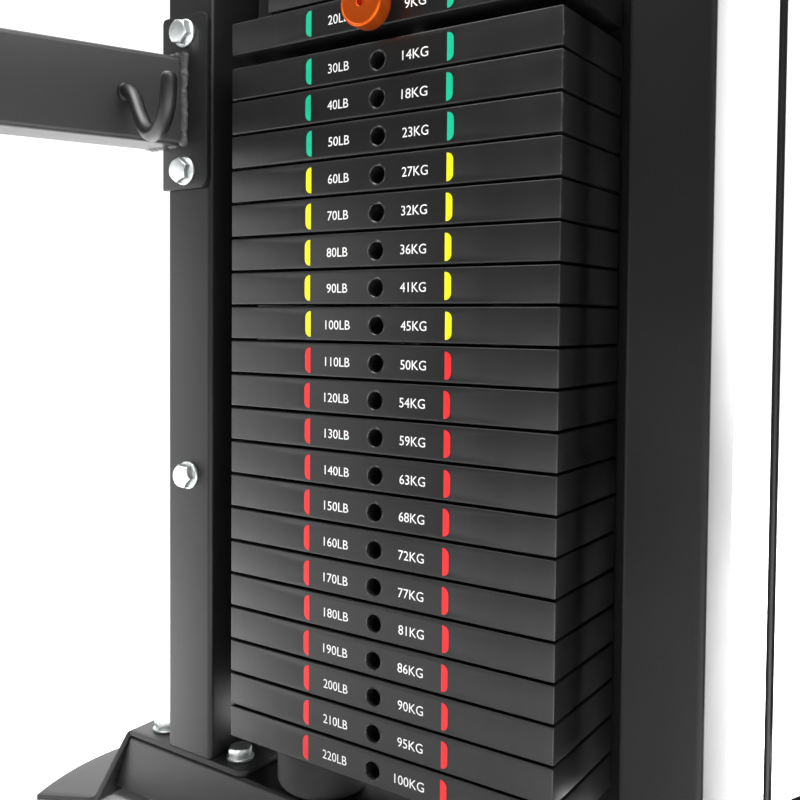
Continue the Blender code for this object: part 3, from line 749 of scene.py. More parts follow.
def addText(words, middle, wide):
    deselectAll()
    bpy.ops.object.text_add()
    writing = bpy.context.object
    writing.data.body = words
    writing.data.size = 0.01
    writing.data.extrude = 0.002
    writing.data.resolution_u = 3
    bpy.ops.object.convert(target="MESH")
    writing = bpy.context.object
    box = list(zip(*writing.bound_box))
    low, high = (Vector([end(places) for places in box]) for end in (min, max))
    size = high - low
    fit = Matrix.Diagonal((wide / size.x, label["textHeight"] / size.y, label["ink"] / size.z, 1))
    moved(writing, shift(middle, halfPitch) @ fit @ shift(*(-(low + high) / 2)))
    return tidied(writing)


def makeLabel(pounds, kilos, mirrored):
    (left, low), (right, high), radius = label["low"], label["high"], label["corner"]
    colour = "teal" if pounds < 60 else "yellow" if pounds < 110 else "red"
    above = shift(z=label["film"] / 2)
    hole = circlePoints(plateMiddle, halfPitch, label["hole"])
    film = outlined("film", [roundedOutline((left, low), (right, high), [radius] * 4), hole], label["film"])
    parts = [painted(film, "film")]
    near, far, inset = label["mark"]
    for start, end, radii in (
        (left + near, left + far, (radius, 0, 0, radius)),
        (right - far, right - near, (0, radius, radius, 0)),
    ):
        outline = roundedOutline((start, low + inset), (end, high - inset), radii)
        mark = outlined("mark", [outline], label["ink"])
        parts.append(painted(moved(mark, above), colour))
    parts.append(painted(turned("rim", label["rim"], (plateMiddle, halfPitch, 0), steps=40), "rim"))
    for unit, number in (("pounds", pounds), ("kilos", kilos)):
        middle, wide = label[unit]
        # the figure's width goes by its digits
        wide *= label["threeDigits"] if number > 99 else label["oneDigit"] if number < 10 else 1.0
        middle = 2 * plateMiddle - middle if mirrored else middle
        writing = addText(f"{number}{'LB' if unit == 'pounds' else 'KG'}", middle, wide)
        if mirrored:
            tidied(moved(writing, shift(2 * middle) @ mirrorX))
        parts.append(painted(moved(writing, above), "white"))
    return joined("label", parts)


def setLabel(side, pounds, kilos, body, x, z):
    sticker = makeLabel(pounds, kilos, side == "left")
    moved(sticker, shift(x, -plate["half"] - label["sunk"] * label["film"], z) @ facing)
    sticker.name = f"label{pounds:03d}_{side}"
    settleOn(side, sticker, body, slot="satin_black_plate")


for side in towers:
    for k, kilos in enumerate(label["weights"]):
        body = "frame" if k else "carriage_" + side
        bottom = plate["bottom"] + (plate["count"] - k) * plate["pitch"] if k else plate["lifted"]
        x = chance.uniform(-label["strayX"], label["strayX"])
        z = bottom + chance.uniform(-label["strayZ"], label["strayZ"])
        setLabel(side, 20 + 10 * k, kilos, body, x, z)
print("labels set")

# Uprights

upright = {
    "half": 0.025,
    "front": -0.034,
    "back": 0.022,
    "corner": 0.0040,
    "endEdge": 0.0008,
    "bottom": 0.0603,
    "top": 1.9647,
    "frontAt": 0.389,
    "tabs": (0.30, 1.03, 1.76),
    "tabHalf": 0.012,
    "tabTall": 0.030,
    "tabEdge": 0.0015,
    "cover": 0.050,
}


def makeUpright(name, x):
    half, tabHalf = upright["half"], upright["tabHalf"]
    low = (x - half, upright["front"], upright["bottom"])
    tube = addBlock(name, low, (x + half, upright["back"], upright["top"]))
    bevelAlong(tube, upright["corner"], 5, 2)
    top = upright["top"] - 1e-4
    bevelEdges(tube, upright["endEdge"], 2, lambda edge: all(v.co.z > top for v in edge.verts))
    parts = [tube]
    for level in upright["tabs"]:
        low = (x - tabHalf, upright["back"] - overlap, level)
        tab = addBlock("tab", low, (x + tabHalf, upright["cover"], level + upright["tabTall"]))
        parts.append(bevelEdges(tab, upright["tabEdge"], 2))
    return joined(name, parts)


settleBoth(makeUpright("rearUpright", 0), "frame", "frame", "rear_upright_*")
settleBoth(makeUpright("frontUpright", upright["frontAt"]), "frame", "front", "front_upright_*")
print("uprights standing")

# Base, foot plates and the front upright's shoe

foot = {
    "thick": 0.0045,
    "seat": 0.0603,
    "halves": (0.0345, 0.0510, 0.0760),
    "drop": 0.0246,
    "toe": 0.0449,
    "bulge": 0.0155,
    "ahead": 0.062,
    "corner": 0.010,
    "bendRound": 0.007,
    "edge": 0.0009,
    "hole": 0.006,
    "holeLong": 0.03,
    "holeIn": 0.011,
    "rows": 16,
    "rear": 0.0735,
    "front": 0.0115,
}
base = {
    "half": 0.035,
    "low": 0.010,
    "high": 0.060,
    "end": 0.6023,
    "overlong": 0.2,
    "corner": 0.0042,
    "cuts": (-0.0698, 0.6106),
}
shoe = {"halves": (0.046, 0.0345), "corner": 0.008, "round": 0.0008}
plateTop = foot["seat"] + foot["thick"]


def footPath(bendX, floorX, toeX):
    # the top face's (x, z) from the plate's end to its toe
    corner, ahead, floorTop = foot["corner"], foot["ahead"], foot["thick"]
    bends = [(ahead, plateTop), (bendX, plateTop), (floorX, floorTop), (toeX - 0.001, floorTop)]
    path = filleted(bends, foot["bendRound"])
    start = [(ahead - corner * (1 - cos(k * pi / 10)), plateTop) for k in range(6)]
    return start + path[1:-1] + [(floorX - foot["toe"] * k / 4, floorTop) for k in range(1, 5)]


def makeFoot(name, reach):
    bend, floor, toe = foot["halves"]
    corner = foot["corner"]
    bendX, floorX = -reach, -reach - foot["drop"]
    toeX = floorX - foot["toe"]
    stations = []
    for x, z in footPath(bendX, floorX, toeX):
        if x > foot["ahead"] - corner:
            half = bend - corner + (corner**2 - (corner - (foot["ahead"] - x)) ** 2) ** 0.5
        elif x > bendX:
            half = bend
        elif x > floorX:
            half = bend + (floor - bend) * (bendX - x) / foot["drop"]
        else:
            half = floor + (toe - floor) * (floorX - x) / foot["toe"]
        stations.append((x, z, half))
    last = len(stations)
    stations.append((toeX, foot["thick"], toe))
    deselectAll()
    bpy.ops.mesh.primitive_grid_add(
        x_subdivisions=last, y_subdivisions=foot["rows"], size=2, location=(-11, 0, 0)
    )
    sheet = newPiece(name)
    # the grid's columns are taken from its far end, and each goes to its station
    for k, (x, z, half) in enumerate(stations):
        at = -10 - 2 * k / last
        pick(sheet, "VERT", lambda vert: abs(vert.co.x - at) < 1e-3)
        bpy.ops.transform.resize(value=(1, half, 1), center_override=(0, 0, 0))
        bpy.ops.transform.translate(value=(x - at - 1e-5 * k, 0, z))
    tip = toeX - 1e-5 * last
    for row in range(foot["rows"] + 1):
        share = 2 * row / foot["rows"] - 1
        pick(sheet, "VERT", lambda vert: abs(vert.co.x - tip) < 5e-6 and abs(vert.co.y - share * toe) < 1e-3)
        bpy.ops.transform.translate(value=(-foot["bulge"] * (1 - share**2), 0, 0))
    deselectAll()
    applied(sheet, "SOLIDIFY", thickness=foot["thick"], offset=-1, use_even_offset=True)
    drilled(sheet, addRound("bore", foot["hole"], (toeX + foot["holeIn"], 0, 0), foot["holeLong"]))
    return bevelEdges(tidied(sheet), foot["edge"], 2)


rearFoot = makeFoot("rearFootPlate", foot["rear"])
frontFoot = moved(makeFoot("frontFootPlate", foot["front"]), shift(base["end"]) @ about("Z", pi))
settleBoth(rearFoot, "frame", "foot", "rear_upright_*")
settleBoth(frontFoot, "frame", "foot", "base_*")

low = (-base["overlong"], -base["half"], base["low"])
tube = addBlock("baseTube", low, (base["end"] + base["overlong"], base["half"], base["high"]))
bevelAlong(tube, base["corner"], 5, 0)
for x, way in zip(base["cuts"], (-1, 1)):
    # cut along the slope of the foot plate
    cutOff(tube, (x, 0, foot["seat"]), (way * foot["seat"], 0, foot["drop"]))
settleBoth(tube, "frame", "frame", "base_*")

x, y = shoe["halves"]
outline = roundedOutline((-x, -y), (x, y), [shoe["corner"]] * 4)
shoePlate = outlined("frontShoe", [outline], foot["thick"], shoe["round"])
moved(shoePlate, shift(upright["frontAt"], 0, foot["seat"] + foot["thick"] / 2))
settleBoth(shoePlate, "frame", "frame", "front_upright_*")
print("base and feet made")

# Rear crossmember with its flanges, hooks and weld beads

cross = {
    "low": 0.5555,
    "high": 0.6255,
    "thick": 0.040,
    "corner": 0.0042,
    "overlong": 0.6,
    "flangeLow": (-0.025, 0.521),
    "flangeHigh": (0.025, 0.658),
    "flangeCorners": (0.0015, 0.009, 0.009, 0.004),
    "flangeThick": 0.0047,
    "flangeRound": 0.0007,
}
hook = {
    "radius": 0.0058,
    "in": 0.046,
    "level": 0.5912,
    # how far out and how high above the level, then the share of the radius at the tip
    "path": mm(
        (-6, 0), (4, 0), (16, -6), (40, -30), (53, -39), (68, -42), (82, -38.5), (92, -29), (96, -16.5)
    ),
    "tip": mm((96.4, -11.5), (96.5, -8.5), (96.5, -6.5), (96.5, -5.3), (96.5, -5)),
    "shares": (1, 0.93, 0.78, 0.52, 0.25),
    "root": mm((5.2, -1), (7.8, -0.6), (7, 1.6), (5.8, 2.6), (5.2, 2.6)),
}
bead = {
    "pitch": 0.0036,
    "radius": 0.0042,
    "uneven": (0.8, 1.2),
    "stray": 0.0005,
    "voxel": 0.0007,
    "low": 0.0030,
    "high": 0.0010,
    "start": 0.15,
}
seatY = upright["front"] - faceGap
flangeY = seatY - cross["flangeThick"]
flangeFace = rightTower @ Vector((0, flangeY, 0))
mitreNormal = (rightTower.to_3x3() @ Vector((0, 1, 0))).normalized()


def cutMitres(piece, point):
    for way in (1, -1):
        cutOff(piece, (way * point.x, point.y, point.z), (way * mitreNormal.x, mitreNormal.y, 0))


def settlePair(piece, finish, angle=32):
    # the right one is modelled in the frame's axes, and the left one is its mirror image
    twin = tidied(copied(piece, piece.name.replace("right", "left"), mirrorX))
    for half in (piece, twin):
        settle(half, "frame", finish, angle=angle)


low = (-cross["overlong"], flangeFace.y, cross["low"])
tube = addBlock("crossTube", low, (cross["overlong"], flangeFace.y + cross["thick"], cross["high"]))
bevelAlong(tube, cross["corner"], 5, 0)
cutMitres(tube, rightTower @ Vector((0, seatY - overlap, cross["low"])))
settle(tube, "frame", "cross", "rear_crossmember")

outline = roundedOutline(cross["flangeLow"], cross["flangeHigh"], cross["flangeCorners"])
middle = seatY - cross["flangeThick"] / 2
flange = standingPlate("crossFlange", [outline], cross["flangeThick"], cross["flangeRound"], middle)
settleBoth(flange, "frame", "frame")

hookX = flangeFace.x - hook["in"]
points = [(hookX, flangeFace.y - out, hook["level"] + rise) for out, rise in hook["path"] + hook["tip"]]
wire = rodAlong("hook_right", points, hook["radius"], shares=hook["shares"], rings=5, kind="BEZIER")
root = turned("rootBead", hook["root"], steps=28)
moved(root, shift(hookX, flangeFace.y, hook["level"]) @ about("X", pi / 2))
settlePair(joined("hook_right", [wire, root]), "frame")


def makeBead(name, runs):
    # overlapping blobs along each run, fused into one lumpy bead
    blobs = []
    for start, end in runs:
        count = int((end - start).length / bead["pitch"]) + 1
        for k in range(count + 1):
            stray = Vector([chance.uniform(-bead["stray"], bead["stray"]) for _ in range(3)])
            radius = bead["radius"] * chance.uniform(*bead["uneven"])
            deselectAll()
            middle = start.lerp(end, k / count) + stray
            bpy.ops.mesh.primitive_ico_sphere_add(subdivisions=2, radius=radius, location=middle)
            blobs.append(newPiece("blob"))
    seam = joined(name, blobs)
    applied(seam, "REMESH", mode="VOXEL", voxel_size=bead["voxel"])
    return applied(seam, "SMOOTH", factor=0.5, iterations=3)


# the tube's corners at the flange, front and back; the lower seam starts a little way in
front = Vector((flangeFace.x, flangeFace.y, 0))
back = front + Vector((-mitreNormal.y / mitreNormal.x, 1, 0)) * cross["thick"]
low, high = Vector((0, 0, cross["low"] + bead["low"])), Vector((0, 0, cross["high"] - bead["high"]))
runs = [(front + low, front + high), (front + high, back + high)]
runs.append((front.lerp(back, bead["start"]) + low, back + low))
settlePair(makeBead("weldBead_right", runs), "weld", 60)
print("crossmember set")

# Bolts with their washers

bolt = {
    "across": 0.017,
    "top": 0.0094,
    "crown": 0.0024,
    "crownIn": 0.0002,
    "edge": 0.0004,
    "washer": mm((5.3, 0), (10.5, 0), (11, 0.5), (11, 1.7), (10.5, 2.2), (5.3, 2.2), (5.3, 0)),
    "washerThick": 0.0022,
}
toFront, toBack, upward = about("X", pi / 2), about("X", -pi / 2), Matrix.Identity(4)


def makeBolt():
    # points along z, with the washer's underside at z = 0
    flat, start, end = bolt["across"] / 2, bolt["washerThick"], bolt["top"]
    radius = flat / cos(pi / 6)
    hexagon = addRound("bolt", radius, (0, 0, (start + end) / 2), end - start, steps=6)
    low, wide = start - overlap, radius + overlap
    crown = [(0, low), (wide, low), (wide, end - bolt["crown"]), (flat - bolt["crownIn"], end), (0, end)]
    drilled(hexagon, turned("crown", crown), operation="INTERSECT")
    return joined("bolt", [bevelEdges(hexagon, bolt["edge"], 2), turned("washer", bolt["washer"])])


boltHead = makeBolt()


def setBolts(body, way, share, *places):
    # each place is a name, a point and how far the bolt is turned
    for name, point, turn in places:
        size = Matrix.Diagonal((share, share, share, 1))
        settleBoth(copied(boltHead, name, shift(*point) @ way @ about("Z", turn) @ size), body, "zinc")


setBolts(
    "frame", toFront, 1,
    ("flangeBoltUpper", (0.001, flangeY, 0.643), 0.3),
    ("flangeBoltLower", (0.001, flangeY, 0.535), 0.9),
    ("uprightBolt", (0.0, upright["front"], 0.292), 0.35),
)
setBolts(
    "frame", toBack, 1,
    ("flangeNutUpper", (0.001, upright["back"], 0.643), 0.2),
    ("flangeNutLower", (0.001, upright["back"], 0.535), 0.7),
)
setBolts(
    "frame", upward, 1,
    ("shoeBoltRear", (-0.048, -0.0150, plateTop), 0.2),
    ("shoeBoltInner", (0.0410, -0.0165, plateTop), 0.55),
    ("shoeBoltOuter", (0.0410, 0.0165, plateTop), 0.1),
    ("frontShoeBoltA", (0.3555, -0.0200, plateTop), 0.4),
    ("frontShoeBoltB", (0.3555, 0.0200, plateTop), 0.8),
    ("frontShoeBoltC", (0.4225, -0.0200, plateTop), 0.1),
    ("frontShoeBoltD", (0.4225, 0.0200, plateTop), 0.6),
    ("endBoltInner", (0.5638, -0.0200, plateTop), 0.5),
    ("endBoltOuter", (0.5638, 0.0200, plateTop), 0.3),
)
print("bolts in")

# Selector pin, rubber bumpers and guide rods

selector = {
    "at": (plateMiddle, -plate["half"], plate["lifted"] + halfPitch),
    "profile": mm(
        (0, 59.5), (2.8, 59.5), (4.3, 56.5), (4.3, -3), (6, -3.4), (6.4, -6.4), (15, -6.8), (15.9, -7.4),
        (16.2, -8.4), (16.2, -18.8), (16, -19.6), (15.4, -20.2), (14.7, -20.4), (14.3, -20), (3.4, -20),
        (3, -19.6), (3, -15), (0, -15),
    ),
}
pin = turned("selectorPin", selector["profile"], selector["at"], "y", 72)
settleBoth(pin, "selector_pin_*", "orange", "selector_pin_*")

bumper = {"inner": 0.0103, "flat": 0.0290, "low": 0.0603, "high": 0.0967, "round": 0.0070}
rod = {"radius": 0.010, "low": 0.0603, "high": 1.9647, "edge": 0.0010}
inner, flat, low, high, radius = bumper.values()
profile = [(inner, low), *arcPoints(flat, low + radius, radius, -90, 0, 5)]
profile += [*arcPoints(flat, high - radius, radius, 0, 90, 5), (inner, high), (inner, low)]
for end, x in zip(("Rear", "Front"), plate["rods"]):
    pad = turned("bumper" + end, profile, (x, 0, 0), steps=56)
    settleBoth(pad, "frame", "bumper", (f"bumper_{end.lower()}_right", "resting_stack_left"))
    middle, length = (rod["low"] + rod["high"]) / 2, rod["high"] - rod["low"]
    bar = addRound("guideRod" + end, rod["radius"], (x, 0, middle), length)
    bevelEdges(bar, rod["edge"], 2)
    settleBoth(bar, "frame", "chrome", (f"guide_rod_{end.lower()}_right", "resting_stack_left"))
print("pin, bumpers and rods in")

# Cable and pulleys

cable = {
    "radius": 0.0024,
    "rearX": 0.4418,
    "frontX": 0.5268,
    "liftZ": 0.7408,
    "baseZ": 0.1085,
    "headZ": 1.985,
    "travel": 1.14,
    "steps": 28,
}
wheel = {
    "radius": 0.0425,
    "flank": mm(
        (5.5, 10), (13, 10), (14, 9.2), (15, 5.2), (33, 5.2), (35, 7.6), (46.5, 8), (47.5, 7.2), (47.5, 6.4)
    ),
    "lip": 0.0465,
    "throat": (0.0066, 0.0058),
    "bearing": mm(
        (5.2, 10.2), (7.8, 10.2), (8, 9.8), (10, 9.8), (10.4, 9.4), (10.4, 8.8), (5.2, 8.8), (5.2, 10.2)
    ),
}
columnX, wheelRadius = 0.4843, wheel["radius"]
# the trolley's level, and the swivel's pulley ahead of the swivel's own axis
trolleyZ, swivelOut = 1.260, 0.0477

around = arcPoints(columnX, cable["baseZ"], wheelRadius, 180, 360, cable["steps"])
run = stood([(cable["rearX"], cable["headZ"]), *around, (cable["frontX"], cable["headZ"])])
settleBoth(rodAlong("columnCable", run, cable["radius"]), "frame", "cable", "cable_*")
around = stood(arcPoints(plateMiddle, cable["liftZ"], wheelRadius, 180, 360, cable["steps"]))
settleBoth(rodAlong("liftLoop", around, cable["radius"]), "carriage_*", "cable")
length = cable["headZ"] - cable["liftZ"]
for name, x in (("liftRunRear", plateMiddle - wheelRadius), ("liftRunFront", plateMiddle + wheelRadius)):
    strand = rodAlong(name, stood([(x, cable["liftZ"]), (x, cable["headZ"])]), cable["radius"])
    for side in towers:
        twin = settleOn(side, copied(strand, f"{name}_{side}"), "frame", "cable")
        top, keep = towers[side] @ Vector((x, 0, cable["headZ"])), (length - cable["travel"]) / length
        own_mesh(twin)
    discard(strand)

deep, wide = wheel["throat"]
throat = [(wheel["lip"] - deep * (1 - (k / 6) ** 2) ** 0.5, wide * k / 6) for k in range(6, -1, -1)]
half = wheel["flank"] + throat
pulley = turned("pulley", half + [(r, -h) for r, h in reversed(half[:-1])] + half[:1], axis="y", steps=64)
bearing = doubled(turned("bearing", wheel["bearing"], axis="y"))
for name, x, z in (
    ("lift", plateMiddle, cable["liftZ"]),
    ("base", columnX, cable["baseZ"]),
    ("swivel", cable["frontX"] + swivelOut, trolleyZ),
):
    node = name + "_pulley_*"
    settleBoth(copied(pulley, name + "Pulley", shift(x, 0, z)), node, "nylon", node)
    settleBoth(copied(bearing, name + "PulleyBearing", shift(x, 0, z)), node, "zinc")
discard(pulley)
discard(bearing)


def setAxle(name, body, share, x, y, z, *turns):
    # a bolt's head on the near side and its nut on the far side
    for end, way, place, turn in zip(("Head", "Nut"), (toFront, toBack), (-y, y), turns):
        setBolts(body, way, share, (name + end, (x, place, z), turn))


print("cable and pulleys in")

# Head plate with its stem and the lift pulley's bracket

head = {
    "bottom": 0.6384,
    "width": 0.197,
    "stem": 0.0125,
    "stemLow": 0.1130,
    "stemIn": 0.004,
    "stemEdge": 0.0015,
    "stemHole": 0.0048,
    "stemHoleLong": 0.05,
    "cheekHalf": 0.022,
    "cheekIn": 0.0110,
    "cheekThick": 0.005,
    "cheekTop": 0.7628,
    "cheekCorner": 0.018,
    "cheekRound": 0.0008,
    "soleThick": 0.006,
    "soleHalf": 0.030,
    "soleOut": 0.033,
    "soleEdge": 0.0012,
    "soleBolts": (0.020, 0.0245),
    "boltShare": 0.72,
}
headTop = head["bottom"] + plate["pitch"]
slab = moved(makePlate("headPlate", head["width"], False), shift(z=head["bottom"]))
settleBoth(slab, "carriage_*", "plate*", ("head_plate_right", "head_plates_left"))
for side in towers:
    setLabel(side, 10, 5, "carriage_" + side, 0, head["bottom"])

low, high = head["stemLow"], head["bottom"] + head["stemIn"]
stem = addRound("selectorStem", head["stem"], (plateMiddle, 0, (low + high) / 2), high - low)
bevelEdges(stem, head["stemEdge"], 2)
levels = [plate["lifted"] + (0.5 - k) * plate["pitch"] for k in range(plate["count"] + 1)]
hole, depth = head["stemHole"], head["stemHoleLong"]
drills = [addRound("drill", hole, (plateMiddle, 0, z), depth, "y", 24) for z in levels]
settleBoth(drilled(stem, joined("drill", drills)), "carriage_*", "chrome")

half, radius = head["cheekHalf"], head["cheekCorner"]
low, high = (plateMiddle - half, headTop), (plateMiddle + half, head["cheekTop"])
outline = roundedOutline(low, high, (0, 0, radius, radius))
middle = -head["cheekIn"] - head["cheekThick"] / 2
cheek = standingPlate("bracketCheek", [outline], head["cheekThick"], head["cheekRound"], middle)
low = (plateMiddle - head["soleHalf"], -head["soleOut"], headTop)
high = (plateMiddle + head["soleHalf"], -head["cheekIn"], headTop + head["soleThick"])
sole = addBlock("bracketSole", low, high)
half = joined("liftBracket", [cheek, bevelEdges(sole, head["soleEdge"], 2)])
settleBoth(doubled(half), "carriage_*", "frame", slot="satin_black_plate")
share, axleY = head["boltShare"], head["cheekIn"] + head["cheekThick"]
setAxle("liftAxle", "carriage_*", share, plateMiddle, axleY, cable["liftZ"], 0.4, 0.9)
x, y = head["soleBolts"]
for k, (x, y) in enumerate(((-x, -y), (x, -y), (-x, y), (x, y))):
    point = (plateMiddle + x, y, headTop + head["soleThick"])
    setBolts("carriage_*", upward, share, (f"soleBolt{k}", point, x * 40))
print("head plates in")

# Slide column with its row of holes and its fork over the base pulley

column = {
    "halfX": 0.015,
    "halfY": 0.025,
    "low": 0.1700,
    "high": 1.9647,
    "corner": 0.0030,
    "hole": 0.0055,
    "holeEdge": 0.0006,
    "holeDepth": 0.010,
    "firstHole": 0.360,
    "holes": 15,
    "holePitch": 0.100,
    "fork": ((0.030, foot["seat"]), (0.030, 0.0903), (0.0147, 0.1353), (0.0147, 0.2603)),
    "forkFillet": 0.008,
    "cheek": 0.006,
    "cheekRound": 0.0008,
    "sole": (0.030, 0.034, 0.005),
    "soleEdge": 0.0010,
}
x, y = column["halfX"], column["halfY"]
tube = addBlock("slideColumn", (columnX - x, -y, column["low"]), (columnX + x, y, column["high"]))
bevelAlong(tube, column["corner"], 5, 2)
levels = [column["firstHole"] + k * column["holePitch"] for k in range(column["holes"])]
depth = 2 * column["holeDepth"]
drills = [addRound("drill", column["hole"], (columnX, y, z), depth, "y", 32) for z in levels]
drilled(tube, joined("drill", drills))


def onColumnHole(edge):
    near = column["hole"] + 1e-4
    return all(abs(v.co.y - column["halfY"]) < 1e-5 and abs(v.co.x - columnX) < near for v in edge.verts)


bevelEdges(tube, column["holeEdge"], 2, onColumnHole)
edge = filleted(column["fork"], column["forkFillet"])
outline = [(columnX + x, z) for x, z in edge] + [(columnX - x, z) for x, z in reversed(edge)]
middle = -y - column["cheek"] / 2
cheek = standingPlate("forkCheek", [outline], column["cheek"], column["cheekRound"], middle)
half, out, thick = column["sole"]
sole = addBlock("forkSole", (columnX - half, -out, foot["seat"]), (columnX + half, -y, foot["seat"] + thick))
fork = doubled(joined("forkHalf", [cheek, bevelEdges(sole, column["soleEdge"], 2)]))
settleBoth(joined("slideColumn", [tube, fork]), "frame", "frame", "slide_column_*")
setAxle("baseAxle", "frame", 1, columnX, y + column["cheek"], cable["baseZ"], 0.15, 0.5)
print("slide columns in")

# Head beam with grommets where the cable enters

beam = {
    "low": (-0.035, -0.040, 1.965),
    "high": (0.5623, 0.040, 2.100),
    "corner": 0.006,
    "capInset": 0.0035,
    "capDepth": 0.0012,
    "hole": 0.007,
    "holeLong": 0.024,
    "grommet": mm(
        (4.5, 1.5), (5.2, 0), (9.8, 0), (10.8, 0.8), (10.8, 2.2), (6.8, 2.4), (6.8, 6), (4.5, 6), (4.5, 1.5)
    ),
    "grommetDrop": 0.0024,
    "bolts": ((plateMiddle, 2.030), (0.2795, 1.985), (0.3993, 1.985), (columnX, 2.030)),
    "nuts": ((plateMiddle, 2.030), (0.3993, 1.985), (columnX, 2.030)),
}
beamHalf, beamLow = beam["high"][1], beam["low"][2]
box = addBlock("headBeam", beam["low"], beam["high"])
bevelAlong(box, beam["corner"], 5, 0)
pick(box, "FACE", lambda face: abs(face.normal.x) > 0.9)
bpy.ops.mesh.inset(thickness=beam["capInset"], use_individual=True)
bpy.ops.mesh.extrude_region_shrink_fatten(TRANSFORM_OT_shrink_fatten={"value": -beam["capDepth"]})
deselectAll()
cableHoles = (plateMiddle - wheelRadius, plateMiddle + wheelRadius, cable["rearX"], cable["frontX"])
hole, depth = beam["hole"], beam["holeLong"]
drilled(box, *[addRound("drill", hole, (x, 0, beamLow), depth, "z", 40) for x in cableHoles])
settleBoth(box, "frame", "frame", "head_beam_*")
level = beamLow - beam["grommetDrop"]
rings = [turned("grommet", beam["grommet"], (x, 0, level), steps=40) for x in cableHoles]
settleBoth(joined("grommets", rings), "frame", "nylon")
for k, (x, z) in enumerate(beam["bolts"]):
    setBolts("frame", toBack, 1, (f"beamBolt{k}", (x, beamHalf, z), 0.3 * k))
for k, (x, z) in enumerate(beam["nuts"]):
    setBolts("frame", toFront, 1, (f"beamNut{k}", (x, -beamHalf, z), 0.4 * k))
print("head beams in")

# Outer cover, a shallow tray with folded edges

cover = {
    "low": (-0.012, 0.0503, 0.070),
    "high": (0.401, 0.0623, 1.955),
    "fold": 0.0016,
    "sheet": 0.0015,
    "screw": mm((0, -2.8), (2.5, -2.8), (4.8, -1.8), (6, 0), (0, 0), (0, -2.8)),
}
panel = addBlock("rearCover", cover["low"], cover["high"])
pick(panel, "FACE", lambda face: face.normal.y > 0.9)
bpy.ops.mesh.delete(type="FACE")
deselectAll()
bevelEdges(panel, cover["fold"], 3)
applied(panel, "SOLIDIFY", thickness=cover["sheet"], offset=-1, use_even_offset=True)
settleBoth(panel, "frame", "cover", "rear_cover_*")
screw = turned("coverScrew", cover["screw"], axis="y", steps=32)
y, up = cover["low"][1] + cover["sheet"], upright["tabTall"] / 2
spots = [shift(x, y, z + up) for x in (0, upright["frontAt"]) for z in upright["tabs"]]
screws = [copied(screw, "coverScrew", spot @ mirrorY) for spot in spots]
discard(screw)
settleBoth(tidied(joined("coverScrews", screws)), "frame", "zinc")
print("covers in")

# Trolley on the slide column, with its pop pin

trolley = {
    "inner": (0.0155, 0.0255, 0.1),
    "outer": (0.0215, 0.0315, 0.080),
    "corner": 0.006,
    "endEdge": 0.0008,
    "pinBore": 0.0053,
    "pinBoreLong": 0.03,
    "lugHalf": 0.014,
    "lugThick": 0.008,
    "lugRound": 0.0010,
    "lugBore": 0.0052,
    "lugLevel": 0.066,
    "bush": mm(
        (5.3, 30), (14, 30), (14, 37), (12, 38.5), (12, 55.5), (11, 56.5), (6, 56.5), (5.3, 55.8), (5.3, 30)
    ),
    "liner": ((0.0195, 0.0295, 0.005), (0.0153, 0.0253, 0.0028)),
    "linerThick": 0.004,
    "linerRound": 0.0006,
}
onTrolley = shift(columnX, 0, trolleyZ)
outer, end, reach = trolley["outer"], trolley["outer"][2], trolley["lugHalf"]
sleeve = bevelAlong(addBlock("trolley", [-part for part in outer], outer), trolley["corner"], 5, 2)
hollow = addBlock("hollow", [-part for part in trolley["inner"]], trolley["inner"])
depth = trolley["pinBoreLong"]
drilled(sleeve, hollow, addRound("bore", trolley["pinBore"], (0, depth, 0), depth, "y", 48))
bevelEdges(sleeve, trolley["endEdge"], 2, lambda edge: all(abs(v.co.z) > end - 1e-5 for v in edge.verts))
parts = [sleeve]
liners = []
root = outer[0] - overlap
outline = [(root, -reach), (wheelRadius, -reach), *arcPoints(wheelRadius, 0, reach, -75, 75, 10)]
outline += [(wheelRadius, reach), (root, reach)]
for way in (-1, 1):
    hole = circlePoints(wheelRadius, 0, trolley["lugBore"])
    lug = outlined("lug", [outline, hole], trolley["lugThick"], trolley["lugRound"])
    parts.append(moved(lug, shift(z=way * trolley["lugLevel"])))
    outlines = [roundedOutline((-x, -y), (x, y), [radius] * 4) for x, y, radius in trolley["liner"]]
    liner = outlined("liner", outlines, trolley["linerThick"], trolley["linerRound"])
    liners.append(moved(liner, shift(z=way * end)))
parts.append(turned("bush", trolley["bush"], axis="y"))
settleBoth(moved(joined("trolleySleeve", parts), onTrolley), "trolley_*", "frame", "trolley_*")
settleBoth(moved(joined("trolleyLiners", liners), onTrolley), "trolley_*", "nylon")

popPin = {
    "profile": mm(
        (0, 0.8), (4, 0.8), (5, 2.3), (5, 42), (9, 42), (10.5, 42.6), (11.8, 44), (15.2, 46.2), (16, 47.4),
        (16, 50), (15.1, 50.8), (15.1, 51.8), (16, 52.6), (16, 55.2), (15.1, 56), (15.1, 57), (16, 57.8),
        (16, 61.2), (15.2, 63), (13.2, 64), (6, 64), (5, 63.2), (0, 63),
    ),
}
pin = turned("popPin", popPin["profile"], (columnX, column["halfY"], trolleyZ), "y", 64)
settleBoth(pin, "pop_pin_*", "chrome", "pop_pin_*")
print("trolleys in")

# Swivel: guards, collars, stop ball and eye

